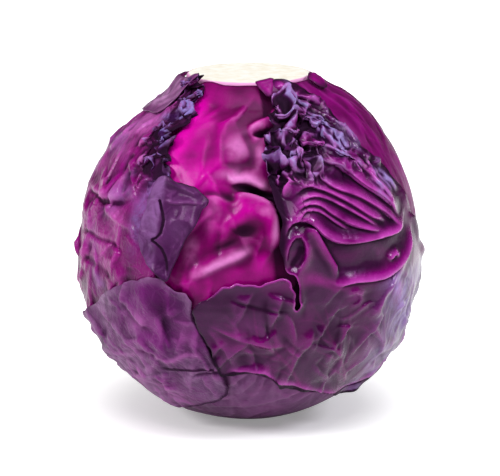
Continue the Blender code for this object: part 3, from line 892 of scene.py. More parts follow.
def front_shape(s):
    s.swell(0.6, 20, 0.3, 12, 21)
    wrinkles(s, 26, 34, (-34, 8), (28, 92), (8, 22), 0.42, 62)
    s.fold([(-27.5, 25), (-31, 31), (-34, 38), (-36, 46), (-35, 56)], 1.5, 2.5, 6.0, lean=0, ends=0.25)
    s.fold([(19, 26.5), (15, 30), (11, 32), (6, 33.3), (2, 35), (2.5, 38), (7, 39)], 1.3, 1.3, 2.4, lean=0.3)
    s.bump(7.0, 36.6, 3.4, 1.3, -3.4, tilt=24)
    s.fold([(3, 40), (6, 43), (5.5, 47), (3, 50.5), (-4, 51.5)], 0.8, 2.4, 3.4, lean=0.2, ends=0.3)
    s.bump(-6, 42, 5.0, 5.5, 0.7)
    s.fold([(-4, 35), (-1.5, 39), (1, 43.5), (0, 46.5), (-5, 47.5), (-12, 47.5)], -0.5, 0.9, 1.6, lean=0)
    s.fold([(-9, 53), (-2, 52.2), (3, 53.3), (8, 55.5)], 1.2, 1.4, 3.2, lean=0.9, groove_shade=0.7)
    s.bump(4.5, 56.8, 6.5, 1.6, -4.0, tilt=-9)
    s.fold([(9, 76), (9.2, 70), (8.6, 64.5), (6.5, 61), (3, 59), (-2, 58.2), (-8, 58.6)], 2.0, 1.6,
           6.0, lean=0.4)
    s.bump(2.5, 66, 8.0, 7.0, 1.6)
    s.fold([(3, 62), (-2, 63.3), (-6, 66), (-11, 70)], 0.6, 2.2, 3.0, lean=0.2)
    s.bump(-1.5, 69, 5.5, 2.6, -1.4, tilt=18)
    s.bump(-8, 73.5, 4.5, 1.4, -0.9, tilt=24)
    s.fold([(-21, 86), (-15, 82), (-9, 79), (-3, 76.5), (2, 73)], 0.9, 1.6, 4.0, lean=0.3, groove_shade=0.25)
    s.bump(4, 79, 4.0, 5.0, 1.0)
    s.fold([(-20, 60), (-14, 57.5), (-8, 58.5), (-3, 60)], -0.7, 1.0, 1.8, lean=0)
    s.fold([(-24, 72), (-18, 66), (-13, 62)], 0.8, 1.2, 3.0)
    # Pale blots; those along the billows' upper and right rims are painted highlights.
    s.patch += s.blots((0.9, -6, 42.5, 4, 4.5), (0.7, 4.5, 45.5, 1.8, 5.0, 12), (0.8, -7, 51, 7, 2.0),
                       (0.6, -13, 63, 3.5, 6.5), (0.9, 4.5, 63.5, 3.0, 2.0), (0.9, 8.2, 69, 1.0, 6.0),
                       (0.8, -10, 79.8, 9, 1.6, 30), (0.5, 4, 35, 4.0, 1.0, 30), (0.5, -20, 76, 3, 5))
    # Painted highlight: the band along the left border is painted brighter.
    left = 1 - s.right_of(-28, 26)
    strip = 1 - s.right_of(-35, 9)
    s.vivid += (0.4 * left + 0.5 * strip) * s.below(23, 5) * s.above(74, 20)
    s.vivid += 0.22 * s.above(54, 10) - 0.25 - 0.3 * s.blot(3, 70, 5, 9)
    s.vivid += 0.3 * (1 - s.below(22, 5))
    s.crest = s.below(23, 5)
    # Painted shade: under the stem's rim, in the dimple, the pocket under the fold, the billow's hollows,
    # and right of the ruffled leaf's edge.
    s.hollow += 0.7 * (1 - s.below(21, 5)) + 0.9 * s.blot(4.5, 57, 6.0, 1.5, -9)
    s.hollow += s.blots((0.95, 7, 36.8, 3.0, 1.1, 24), (0.55, -2, 68.5, 5.0, 3.2, 18),
                        (0.5, -4, 57, 6, 1.6), (0.45, -3, 74.5, 5, 1.6, 18))
    s.hollow += s.right_of(7.4, 2)


front_leaf = Leaf("front_blade", [
    (-46, 20.2), (-20, 19.6), (5, 19.6), (20, 20), (26, 34), (24, 55), (18, 80), (10, 95), (-10, 99),
    (-28, 98), (-42, 82), (-46, 60), (-47, 38)], spacing=0.75 * MM, curl=0.2, sink=4 * MM, seed=3)
front_finish = leaf_finish(
    "fresh_magenta", (100, 1, 72), (226, 12, 172), (226, 140, 206), (170, 30, 130), (110, 6, 80),
    cloud=22, net=0.06, wrinkle=0.35, roughness=0.34, coat=0.16, relief=0.3, shine=0.25)
lay_leaf(front_leaf, front_shape, "front_leaf", front_finish)

# The right leaf: smooth and tight over the right shoulder, purple with fine straight veins that run
# down from the stem.


def fan(azimuths, start_polar, end_polar, width, lean=0.0):
    """Roots for veins that run down from the stem side by side."""
    return [(a, start_polar, a + lean, end_polar, width) for a in azimuths]


def right_shape(s):
    s.swell(0.7, 22, 0.4, 20, 31)
    s.height += 0.18 * MM * grain(s.round * (1, 1, 0.25), 2.6 * MM, 33)
    draw_veins(s, fan(range(24, 120, 12), 21, 96, 0.9, 4), 34, forks=1, relief=0.25, spread=0.35)
    wrinkles(s, 36, 40, (26, 118), (26, 104), (14, 34), 0.45, 90)
    s.patch += 0.5 * smooth(layered(s.round * (1, 1, 0.4), 14 * MM, 35) * 0.8)
    s.bloom += 0.5 * s.below(84, 25)


right_leaf = Leaf("right_blade", [
    (22, 20), (45, 19.6), (75, 19.6), (112, 20), (134, 40), (136, 70), (128, 100), (95, 116),
    (60, 112), (34, 92), (22, 65), (18, 40)], curl=0.3, seed=4)
smooth_finish = leaf_finish(
    "smooth_purple", (96, 2, 74), (146, 26, 122), (184, 98, 168), (160, 66, 142), (90, 10, 72),
    cloud=26, net=0.1, wrinkle=0.35, roughness=0.42, coat=0.08, relief=0.3, shine=0.3)
lay_leaf(right_leaf, right_shape, "right_leaf", smooth_finish)

# The back leaf: the broad leaf that closes the back from the stem down. Side by side, its veins
# run down from the stem under a light bloom.


def back_shape(s):
    s.swell(0.9, 24, 0.6, 20, 41)
    draw_veins(s, fan(range(124, 236, 14), 21, 104, 1.0, 3), 42, forks=2, relief=0.35, spread=0.45)
    s.patch += 0.5 * smooth(layered(s.round, 15 * MM, 43) * 0.8)
    s.bloom += 0.5 * s.below(70, 40)


back_leaf = Leaf("back_blade", [
    (130, 20), (155, 19.6), (185, 19.6), (218, 20), (232, 40), (236, 68), (232, 98), (215, 118),
    (180, 122), (146, 118), (128, 98), (122, 68), (124, 40)], spacing=1.0 * MM, curl=0.1, seed=5)
lay_leaf(back_leaf, back_shape, "back_leaf", smooth_finish)

# The left leaf: a thick, veined, purple-pink leaf round the left side. Its free edge, beside the
# front leaf, has dried into a crushed frill, dark with painted shade in its crevices.


def left_shape(s):
    s.swell(0.8, 24, 0.6, 15, 51)
    right_edge = s.right_of(-60, 12) * s.above(64, 12)
    frill = right_edge * s.margin(9, 4)
    s.height -= 0.5 * MM * frill
    s.crumple(frill, 4.0, 5.0, 52, sway=0.8)
    s.crumple(frill, 2.8, 2.6, 55, sway=1.0)
    s.crumple(frill, 1.3, 1.4, 60, sway=1.0)
    s.bump(-45, 45.5, 3.8, 1.6, -3.0, tilt=30)
    s.bump(-42, 49.5, 1.6, 2.8, -2.6, tilt=60)
    s.fold([(-57, 46), (-51, 43), (-46, 42), (-41, 43.5)], 2.0, 1.0, 2.4, groove_shade=0.6)
    s.fold([(-52, 51), (-47, 49), (-43, 51), (-40, 56)], 1.8, 1.2, 2.4, groove_shade=0.5)
    s.fold([(-84, 66.5), (-74, 65), (-64, 66), (-54, 65), (-46, 63), (-40, 62)], -1.2, 0.9, 0.9, lean=0)
    s.fold([(-82, 64.5), (-66, 64), (-50, 62)], 0.9, 1.2, 3.0, groove_shade=0.3)
    s.fold([(-81, 80), (-70, 77.5), (-61, 78), (-52, 78), (-45, 81)], -1.1, 0.9, 0.9, lean=0)
    s.fold([(-57, 49), (-55, 56), (-58, 62), (-57, 67)], 1.0, 1.0, 2.6, groove_shade=0.3)
    s.fold([(-80, 88), (-68, 86), (-58, 88), (-50, 90)], -1.0, 1.2, 1.2, lean=0)
    s.fold([(-62, 68), (-52, 70), (-42, 72)], 0.7, 0.9, 2.4)
    s.fold([(-72, 70), (-70, 78), (-74, 88)], 0.9, 0.9, 2.4)
    crushed = 0.35 + 0.65 * s.below(44, 14)
    s.height += crushed * 1.6 * MM * (creased(s.round * (1, 1, 0.8), 22 * MM, 57, 2) - 0.45)
    wrinkles(s, 63, 90, (-112, -40), (30, 106), (9, 26), 1.1, 75, 0.4 + 0.6 * crushed)
    wrinkles(s, 64, 60, (-100, -40), (46, 100), (5, 12), 0.6, 40)
    draw_veins(s, [(-47, 25, -70, 62, 1.1), (-64, 24, -88, 76, 1.0), (-84, 22, -106, 84, 1.0),
                   (-42, 56, -62, 92, 0.8), (-50, 60, -84, 96, 0.8)],
               58, forks=2, relief=0.35)
    pinks = (s.stroke([(-84, 66.5), (-64, 66), (-54, 65), (-46, 63), (-40, 62)], 1.2)
             + s.stroke([(-81, 80), (-61, 78), (-52, 78), (-45, 81)], 1.1)
             + s.stroke([(-62, 52), (-58, 58), (-62, 66)], 1.3))
    s.vivid += 0.8 * pinks + 0.3 * s.blot(-64, 58, 10, 7)
    s.patch += s.blots((0.8, -52, 70, 6, 4), (0.5, -56, 78, 7, 8), (0.9, -66, 38, 12, 7, 40),
                       (0.4, -84, 56, 9, 5), (0.6, -72, 42, 20, 12, 50))
    s.patch += 0.3 * smooth(layered(s.round, 10 * MM, 59) * 1.4 - 0.3)
    s.vivid += 0.15 * s.below(56, 8)
    s.crest = 0.75 * (1 - frill)
    s.bloom += 0.3 * smooth(layered(s.round, 16 * MM, 61) + 0.1) * (1 - frill)
    s.bloom += s.blots((1.1, -37, 27, 3, 1.8, 20), (1.2, -44, 33.5, 5.5, 2.0, 22),
                       (0.8, -40, 68, 4.5, 12), (0.5, -38, 56, 3, 5))
    # Painted light on the frill: bloom on its crests as a painted highlight, painted shade in its crevices
    # and in the dents under the folds.
    s.frost = 1.6 * frill
    s.hollow += frill * (0.45 + 1.1 * smooth(1.5 - 2.2 * creased(s.round, 2.6 * MM, 55)))
    s.hollow += s.blots((0.8, -46, 47, 5, 2, 25), (0.5, -43, 44, 4, 7))
    s.edge_share = 0.25 + 0.75 * right_edge


left_leaf = Leaf("left_blade", [
    (-42, 19.8), (-36, 24.5), (-33, 29), (-33.5, 33.5), (-35.5, 37.5), (-37, 42), (-36.5, 46),
    (-36, 51), (-35, 57), (-33, 66), (-31, 78), (-34, 96), (-60, 114), (-92, 119), (-118, 104),
    (-128, 68), (-124, 40), (-112, 20), (-80, 19.6), (-58, 19.6)], spacing=0.75 * MM, ragged=1.6,
    curl=0.5, fine=(-42, 38, 15, 22), seed=6)
veined_finish = leaf_finish(
    "veined_purple", (70, 2, 56), (150, 18, 122), (208, 112, 188), (176, 70, 150), (44, 4, 38),
    bloom=(150, 134, 200), cloud=34, net=0.25, wrinkle=0.7, roughness=0.34, coat=0.3, relief=0.8,
    shine=0.35)
lay_leaf(left_leaf, left_shape, "left_leaf", veined_finish)

# The bottom leaf: it wraps the crown of the head and carries it, pressed flat where it rests. Long
# fine veins sweep round it under a grey waxy bloom.


def bottom_shape(s):
    s.height += 0.25 * MM * layered(s.round, 18 * MM, 71, 3) * s.above(172, 20)
    draw_veins(s, [(a, 112, a + 34, 164, 0.9) for a in range(-80, 280, 18)], 72, forks=1,
               relief=0.22, spread=0.35)
    wrinkles(s, 75, 130, (-80, 280), (116, 158), (14, 34), 0.7, 8, s.above(166, 14), ridge_highlight=1.3)
    s.bloom += 0.6 + 0.3 * grain(s.round, 14 * MM, 73)
    s.patch += 0.5 * smooth(layered(s.round, 16 * MM, 74))
    # Painted shadow: a dark line just below the ruffled leaf's lower edge.
    s.hollow += 3 * s.stroke([(-12, 118.7), (0, 118.6), (5, 120), (10, 122.6), (13, 125.6), (21, 128.8),
                              (37, 133.4), (50, 135.2), (62, 132.6), (72, 125.5), (82, 116.5)], 1.0)


bottom_leaf = Leaf("bottom_blade", [
    (-40, 110), (-15, 106), (15, 106), (45, 112), (70, 118), (100, 124), (130, 122), (160, 128),
    (190, 124), (220, 130), (250, 124), (280, 124), (300, 116)], spacing=1.0 * MM, curl=0.3, seed=7)
waxy_finish = leaf_finish(
    "waxy_grey_purple", (62, 14, 60), (98, 36, 92), (132, 74, 124), (136, 96, 132), (30, 8, 30),
    bloom=(124, 88, 124), cloud=26, net=0.15, wrinkle=0.5, roughness=0.44, coat=0.1, relief=0.4)
lay_leaf(bottom_leaf, bottom_shape, "bottom_leaf", waxy_finish, foot=True)

# Two wrapper leaves cross over the back leaf, left and right: each is a veined cup with a thin,
# ragged edge that lifts a little, held at its base under the head.


def wrapper_shape(seed, roots):
    def shape(s):
        s.swell(0.8, 20, 0.8, 16, seed)
        wrinkles(s, seed + 4, 70, (min(r[0] for r in roots) - 34, max(r[0] for r in roots) + 34),
                 (52, 124), (10, 30), 0.8, 90)
        draw_veins(s, roots, seed + 1, forks=2, relief=0.45)
        s.patch += 0.5 * smooth(layered(s.round, 14 * MM, seed + 2) * 0.9)
        s.bloom += 0.4 * smooth(layered(s.round, 18 * MM, seed + 3) + 0.3)
    return shape


back_left_leaf = Leaf("back_left_blade", [
    (-120, 72), (-132, 54), (-150, 46), (-168, 58), (-176, 84), (-172, 112), (-158, 128), (-136, 132),
    (-118, 124), (-112, 100)], spacing=1.0 * MM, ragged=0.9, curl=0.9, seed=8)
lay_leaf(back_left_leaf, wrapper_shape(81, [(-138, 130, -140, 52, 1.6), (-130, 126, -114, 72, 1.2),
                                            (-146, 128, -168, 72, 1.2)]),
         "back_left_leaf", veined_finish)
back_right_leaf = Leaf("back_right_blade", [
    (122, 54), (138, 42), (158, 48), (174, 70), (180, 98), (170, 122), (146, 132), (124, 126),
    (112, 112), (112, 82)], spacing=1.0 * MM, ragged=0.9, curl=0.9, seed=9)
lay_leaf(back_right_leaf, wrapper_shape(91, [(136, 130, 136, 46, 1.6), (130, 126, 112, 62, 1.2),
                                             (144, 128, 168, 74, 1.2)]),
         "back_right_leaf", smooth_finish)

# The lower left leaf: a limp outer leaf round the lower left, pale and torn along its top edge,
# finely wrinkled and dusted with bloom towards the back.


def lower_left_shape(s):
    s.swell(0.7, 20, 0.5, 15, 101)
    s.height += 1.4 * MM * (creased(s.round, 24 * MM, 102, 2) - 0.45)
    wrinkles(s, 105, 60, (-98, -12), (92, 142), (10, 28), 0.85, 118)
    wrinkles(s, 107, 46, (-100, -20), (112, 142), (14, 34), 0.6, 150, ridge_highlight=1.2)
    wrinkles(s, 106, 50, (-90, -14), (94, 136), (5, 12), 0.5, 30)
    s.curl_share = s.right_of(-56, 10) * (1 - s.below(112, 8))
    s.sag = 1.2 * np.exp(-((s.azimuth + 90) / 9) ** 2)
    s.crest[:] = 0.9
    # Painted shadow: dark lines under the ruffled leaf's lower edge and along its left border, and painted
    # shade in two soft patches.
    s.hollow += 2.2 * s.stroke([(-35, 119.6), (-25, 119.2), (-15, 118), (-9, 118.5)], 0.45)
    s.hollow += 2.6 * s.stroke([(-17.4, 93), (-18.6, 98), (-16, 103), (-13.2, 108), (-11.4, 113),
                                (-9.8, 119)], 0.9)
    s.hollow += s.blots((0.5, -29, 97, 6, 9), (0.3, -50, 104, 8, 5))
    # The pale dry edge along the torn top also stands for the highlight that edge catches, a painted
    # highlight.
    s.edge_share = s.right_of(-56, 10) * (1 - s.below(104, 6))
    # Painted shade along the lower edge.
    s.hollow += 0.9 * s.below(108, 5) * s.margin(1.2, 0.5)
    s.bump(-31, 94, 3.5, 6, -1.0)
    s.fold([(-58, 100), (-50, 99), (-42, 97)], -0.6, 1.2, 1.2, lean=0)
    s.fold([(-64, 100), (-52, 106), (-44, 116), (-40, 126)], 0.8, 1.2, 2.0)
    s.fold([(-78, 104), (-64, 112), (-54, 124)], 0.8, 1.2, 2.0)
    s.fold([(-22, 121.5), (-16, 120), (-10, 118.5)], -1.6, 0.7, 0.7, lean=0)
    draw_veins(s, [(-44, 136, -46, 92, 0.8), (-60, 138, -62, 94, 0.8), (-80, 136, -84, 98, 0.8),
                   (-26, 130, -18, 104, 0.8)], 103, forks=2, relief=0.25)
    s.patch += s.blots((0.8, -38, 101, 6, 4), (0.5, -22, 104, 4, 7))
    s.bloom += 0.95 * s.left_of(-38, 20) + 0.6 * s.below(108, 14)
    s.bloom += 0.4 * s.blot(-52, 106, 12, 9)
    s.bloom += 0.7 * s.margin(4) * s.above(104, 8)


lower_left_leaf = Leaf("lower_left_blade", [
    (-49, 92), (-40, 88), (-31, 85.5), (-27, 88), (-23, 90), (-20.3, 90.5), (-18.8, 97), (-16.4, 102),
    (-13.8, 108), (-12, 114), (-10, 119), (-10, 130), (-40, 143), (-72, 141), (-98, 132), (-106, 120),
    (-96, 114), (-80, 108), (-64, 101)], spacing=0.8 * MM, ragged=0.8, curl=1.1, hug=0.5 * MM, seed=10)
lower_finish = leaf_finish(
    "waxy_mauve", (64, 4, 66), (116, 20, 110), (176, 100, 166), (164, 104, 158), (138, 92, 138),
    bloom=(156, 118, 156), cloud=30, net=0.2, wrinkle=0.75, roughness=0.36, coat=0.2, relief=0.8,
    shine=0.4)
lay_leaf(lower_left_leaf, lower_left_shape, "lower_left_leaf", lower_finish)

# Two scraps of leaf base just below the rim: a small wedge at the front and a pointed tip at the
# right, left where outer leaves were pulled away.


def scale_shape(seed, point):
    def shape(s):
        s.swell(0.7, 1.6, 0.35, 3, seed, 2)
        s.height += 0.25 * MM * grain(s.round * (1, 1, 0.3), 1.0 * MM, seed + 2)
        # Painted shade towards the lower end.
        s.hollow += 0.3 * s.below(point, 3)
        s.edge_share *= 0.5
    return shape


leaf_scale = Leaf("front_scrap", [
    (6, 19.4), (18, 19.4), (20, 20.7), (18.5, 23.2), (15.6, 25.4), (12.6, 25.4), (9.0, 23.2),
    (6.4, 21.2)], spacing=0.4 * MM, ragged=0.2, curl=0.5, seed=14)
scrap_finish = leaf_finish(
    "scrap_purple", (110, 8, 92), (160, 22, 132), (170, 80, 150), (140, 56, 122), (40, 6, 34),
    cloud=120, net=0.1, wrinkle=0.5, roughness=0.36, coat=0.2, relief=0.3)
lay_leaf(leaf_scale, scale_shape(151, 22), "leaf_scale", scrap_finish)
LAID.remove(leaf_scale)        # the frill beside it isn't lifted by so small a scrap
rim_scale = Leaf("right_scrap", [
    (56, 20.6), (64, 18.9), (70, 18.3), (74, 19.2), (75, 22), (68, 25), (60, 24)], spacing=0.5 * MM,
    ragged=0.3, curl=0.4, seed=15)
lay_leaf(rim_scale, scale_shape(161, 21), "rim_scale", scrap_finish)

# The ruffled leaf: the big outer leaf on the right. Its upper half has slumped and crumpled into
# deep swept folds and a crushed frill, with painted shade in their grooves and crevices and
# painted highlights on their crests, and a tear splits its edge below them. Its lower edge and
# left border carry a near-black painted shadow line.


def frost_feathers(spots, seed, count):
    """Short raised streaks that run down the slope beside the frill, blue with bloom that is partly a
    painted highlight, with painted shade in their furrows.
    """
    rng = np.random.default_rng(seed)
    for _ in range(count):
        polar = rng.uniform(27, 60)
        azimuth = 36 + 0.93 * (polar - 38) + rng.uniform(-7, 6)
        reach = rng.uniform(0.6, 1.3)
        path = [(azimuth, polar), (azimuth + 2.8 * reach, polar + 1.8 * reach),
                (azimuth + 5.5 * reach, polar + 5.5 * reach)]
        width = rng.uniform(0.6, 1.3)
        spots.fold(path, rng.uniform(0.5, 1.1), 0.6, 1.2 * width, ends=0.3, groove_shade=0.5)
        spots.bloom += rng.uniform(0.7, 1.2) * spots.stroke(path, width, ends=0.3)


def ruffled_shape(s):
    s.swell(0.6, 20, 0.4, 14, 111)
    upper = s.above(58, 8)
    frill = upper * s.left_of(33, 8) * s.below(24, 4)
    slope = upper * s.right_of(24, 10)
    s.height += 1.2 * MM * frill
    s.crumple(frill, 4.8, 7.5, 112, sway=0.7)
    s.crumple(frill, 2.6, 3.4, 115, sway=1.0)
    s.crumple(frill, 1.2, 1.7, 117, sway=1.0)
    s.crumple(slope, 2.2, 6.5, 118, sway=0.6)
    s.crumple(slope, 0.8, 2.6, 119, sway=0.8)
    s.fold([(21, 26), (17.5, 30), (19.6, 33), (26, 34), (32, 31.5), (41, 30)], 2.2, 1.0, 1.8, groove_shade=0.7)
    s.fold([(16, 22.5), (24, 22.8), (33, 25), (40, 27.5), (46, 31)], 1.8, 1.4, 2.4, groove_shade=0.7)
    s.fold([(28.5, 36), (32, 38), (35.5, 36.5), (37, 40), (35, 43)], 2.0, 0.9, 1.5, groove_shade=0.7)
    s.fold([(22, 42), (26, 43.6), (31, 44), (35.5, 42)], 2.2, 0.9, 1.5, groove_shade=0.7)
    s.fold([(13, 40), (10.6, 42.2), (12.5, 45), (10.6, 48.5), (10.4, 53)], 2.2, 1.0, 1.6, groove_shade=0.7)
    s.fold([(17, 43), (13.4, 46.4), (11.6, 51), (11.8, 56)], 2.2, 1.0, 1.5, groove_shade=0.8)
    s.fold([(25, 45), (19.7, 48.8), (16.4, 51.3), (14, 55.8), (12, 60)], 2.4, 1.0, 1.8, groove_shade=0.8)
    s.fold([(27, 47.5), (34, 50.3), (40, 53.5), (45, 57), (51, 60.5),
            (57, 65), (61, 71)], 2.8, 0.9, 4.0, groove_shade=1.0)
    s.fold([(33, 43), (38.8, 46), (44, 49.5), (50, 54), (56, 60), (60, 66)], 1.7, 0.8, 3.2, groove_shade=0.7)
    s.fold([(25, 50), (27.5, 53.5), (33, 56.8), (39, 59.5), (46, 63), (53, 67.5), (60, 74)], 2.3, 0.8,
           3.2, groove_shade=0.9)
    s.fold([(13, 60.5), (16.3, 57.2), (21.3, 55.6), (27, 56.8), (32.6, 59.2), (38.5, 62.8), (46, 67.5),
            (54, 71)], 2.6, 0.9, 3.6, groove_shade=1.0)
    s.fold([(14, 62), (18, 59.2), (23.2, 58.6), (29.2, 60.2), (35, 63.5), (41, 67), (48, 71)], 1.9, 0.7, 2.2,
           groove_shade=0.9)
    s.fold([(13, 65.5), (15.9, 61.9), (20.2, 60.7), (25.5, 61.7), (30, 64.6), (36, 68.4), (43, 70.8),
            (50, 72)], 2.3, 0.8, 2.8, groove_shade=0.9)
    s.fold([(14, 67), (18, 63), (23, 63.2), (27, 65), (31, 68), (36, 71)], 1.5, 0.6, 2.2, groove_shade=0.7)
    s.fold([(11, 75), (11, 70.3), (13, 66.8), (16.3, 65.3), (20.4, 65.9), (23.4, 68.2), (26.4, 70.9),
            (31, 73.2), (37, 74), (48, 74), (57, 73.6), (64, 71), (67, 68)], 2.9, 1.1, 3.4, groove_shade=1.0)
    s.fold([(18, 68), (20.6, 70.6), (22.8, 74), (25, 77.6), (27.4, 81.6), (29.6, 86)], 2.6, 1.2, 1.8,
           lean=-0.5)
    # Painted shade in the furrow beside this fold.
    s.hollow += 1.0 * s.stroke([(20, 67.5), (23, 71), (25.4, 75), (28, 79.5), (31, 84.5)], 1.6)
    s.fold([(12.2, 81), (11.7, 77.4), (12.7, 74), (14.8, 71.4), (17.4, 71.2), (19.1, 73.8), (19.3, 77),
            (18.3, 80), (16.2, 82.2), (15.2, 85)], 1.8, 0.8, 2.6, lean=0.2)
    s.bump(15.6, 78.2, 1.5, 4.4, -3.0, tilt=-14)
    # Painted shade in the pocket.
    s.hollow += 1.4 * s.stroke([(13.6, 81), (15, 79), (16.8, 76.6), (17.4, 74)], 1.1)
    s.bump(34, 79, 8.0, 5.0, -2.4, tilt=-8)
    s.fold([(26, 85.5), (30, 87.6), (36, 87), (43, 87.6), (50, 87.4), (58, 85), (66, 80), (70, 74)],
           1.9, 1.0, 3.6, lean=0.5, groove_shade=0.9)
    s.fold([(51, 83), (54.5, 80.8), (56.5, 82.5)], 1.6, 0.8, 1.2, groove_shade=0.6)
    s.fold([(68, 81), (60, 86), (54, 91), (48, 97), (43, 103)], 1.1, 1.4, 2.2)
    s.fold([(33, 92), (37, 91), (40, 93), (38, 96), (34, 96)], 0.9, 0.9, 1.4)
    s.fold([(-15, 99), (-4, 104), (6, 107), (14, 108.5)], 0.6, 0.6, 1.6)
    s.fold([(12, 106), (15, 110), (19, 112)], 0.6, 0.6, 1.6)
    s.fold([(-6, 91), (-2, 92.5), (3, 94), (8, 95.4), (14, 96)], -0.8, 0.6, 0.6, lean=0)
    s.fold([(-14, 100), (-8, 108), (-4, 116)], 0.7, 0.8, 2.0)
    s.fold([(22, 100), (28, 108), (38, 116)], 0.7, 0.8, 2.4)
    s.fold([(42, 104), (52, 110), (60, 120)], 0.8, 0.9, 2.4)
    frost_feathers(s, 129, 34)
    s.hollow *= 1 - 0.75 * s.blot(53, 61, 8, 9)
    s.fold([(-9, 116), (0, 115.3), (6, 116.5), (12, 121), (22, 125), (37, 130), (50, 131), (62, 128.5),
            (73, 119.5), (82, 111)], 0.8, 0.6, 1.6, ends=0.05, groove_shade=1.3)
    under = s.below(86, 6)
    s.height += under * 1.4 * MM * (creased(s.round, 24 * MM, 121, 2) - 0.45)
    wrinkles(s, 124, 70, (-14, 84), (90, 128), (10, 28), 0.75, 60, under)
    wrinkles(s, 127, 50, (-12, 80), (90, 126), (5, 12), 0.5, 120, under)
    draw_veins(s, [(44, 128, 24, 92, 0.7), (60, 124, 50, 92, 0.7), (20, 124, 0, 92, 0.7),
                   (78, 112, 68, 80, 0.7)], 122, forks=1, relief=0.2)
    s.vivid += 0.3 * s.stroke([(-14, 99), (-4, 104), (6, 106.5), (14, 108)], 0.7)
    s.vivid += 0.3 * s.stroke([(8, 104), (12, 108), (18, 112)], 0.7)
    s.vivid += 0.9 * s.stroke([(16, 86), (22, 85.5), (30, 88.5), (40, 88), (52, 88)], 2.2)
    s.vivid += s.blots((0.5, 26, 98, 6, 2.5), (0.35, 24, 106, 8, 4))
    s.patch += under * s.blots((0.9, 56, 92, 3.5, 12, 36), (0.7, 37, 92.5, 3, 2))
    s.patch += under * 0.25 * smooth(layered(s.round, 16 * MM, 123) * 1.2)
    s.bloom += under * (1.1 * s.blot(58, 93, 5, 15, 32) + 0.5 * s.right_of(40, 22))
    # Painted shade: a dark strip at the lower part's left, a faint veil over the lower part, and the frill's
    # crevices.
    strip = s.left_of(14, 3) * s.above(96.5, 2) * under
    s.hollow += 0.06 * under + 0.42 * strip + 0.3 * frill * s.left_of(21, 5)
    s.hollow += 0.9 * frill * smooth(1.5 - 2.2 * creased(s.round, 3.4 * MM, 115))
    s.swing = 1 - 0.6 * under
    s.crest = 1.3 - 0.8 * under
    s.vivid -= 0.42 * under
    # Painted shade in two soft patches.
    s.hollow += s.blots((0.4, 18, 92, 4, 8), (0.3, 30, 104, 8, 5))
    s.curl_share = 1 + 1.2 * s.below(108, 6) * (1 - s.right_of(54, 14))
    s.bloom += 0.3 * slope * smooth(layered(s.round, 5 * MM, 125) * 2.2)
    # Painted highlights: bloom on the crests of the frill and the slope.
    s.frost = 1.2 * frill + 0.5 * slope
    # Painted shadow: a near-black line along the lower edge, and painted shade in the pocket and under the
    # torn edge.
    lower_edge = s.below(108, 5) * s.margin(0.8, 0.3)
    s.hollow += 2.6 * lower_edge + 0.4 * frill + 0.4 * s.blot(34, 79, 9, 4.5, -8)
    s.hollow += (1 - s.right_of(10.6, 2.4)) * s.above(82, 3) * (1 - frill)
    top_rim = s.below(80, 4) * (1 - s.below(106, 4)) * s.right_of(-14, 4)
    s.patch += 1.1 * top_rim * s.margin(0.9)
    # The near-black edge colour, a painted shadow line, runs along the lower edge and the left border.
    s.edge_share = np.maximum(s.below(108, 4),
                              s.left_of(-8, 3) * s.below(93, 3))


ruffled_leaf = Leaf("ruffled_blade", [
    (14, 20.5), (15, 24), (15.5, 28), (13, 32), (11.5, 36), (9.5, 40), (8, 43.5), (7.6, 48), (8.2, 54),
    (9.6, 60), (10.2, 68), (10, 75), (10.6, 80), (12.6, 83), (15, 84.4), (16, 88), (16.2, 93.5),
    (15.6, 95.6), (15, 93), (14.2, 88), (12.9, 84.8), (9, 84.4), (4, 86), (-5, 86), (-10, 88.5),
    (-13, 91), (-16.8, 94), (-17.6, 98), (-15.2, 102.5), (-12.4, 108), (-10.6, 113), (-9, 118),
    (0, 117.3), (5, 118.5), (10, 121), (12, 124), (20, 127), (30, 129), (40, 132), (50, 134),
    (60, 132), (70, 126), (80, 117), (92, 106), (88, 92), (78, 82), (73, 74), (70, 68), (66, 60),
    (60, 52), (54, 45), (51, 39), (48, 32), (44, 26), (36, 21)], spacing=0.68 * MM, ragged=0.9,
    curl=1.1, fine=(26, 54, 24, 34), seed=11)
# Its near-black edge colour is a painted shadow line.
ruffled_finish = leaf_finish(
    "ruffled_purple", (58, 0, 54), (130, 2, 110), (206, 90, 190), (140, 26, 114), (14, 2, 12),
    bloom=(172, 150, 212), cloud=30, net=0.06, wrinkle=0.4, roughness=0.26, coat=0.8, relief=0.45,
    shine=0.3)
lay_leaf(ruffled_leaf, ruffled_shape, "ruffled_leaf", ruffled_finish)

# The torn flap: a limp scrap of an outer leaf that still clings over the left leaf's edge, slate
# purple and cracked through, with painted shadow lines in its cracks and along its right edge.


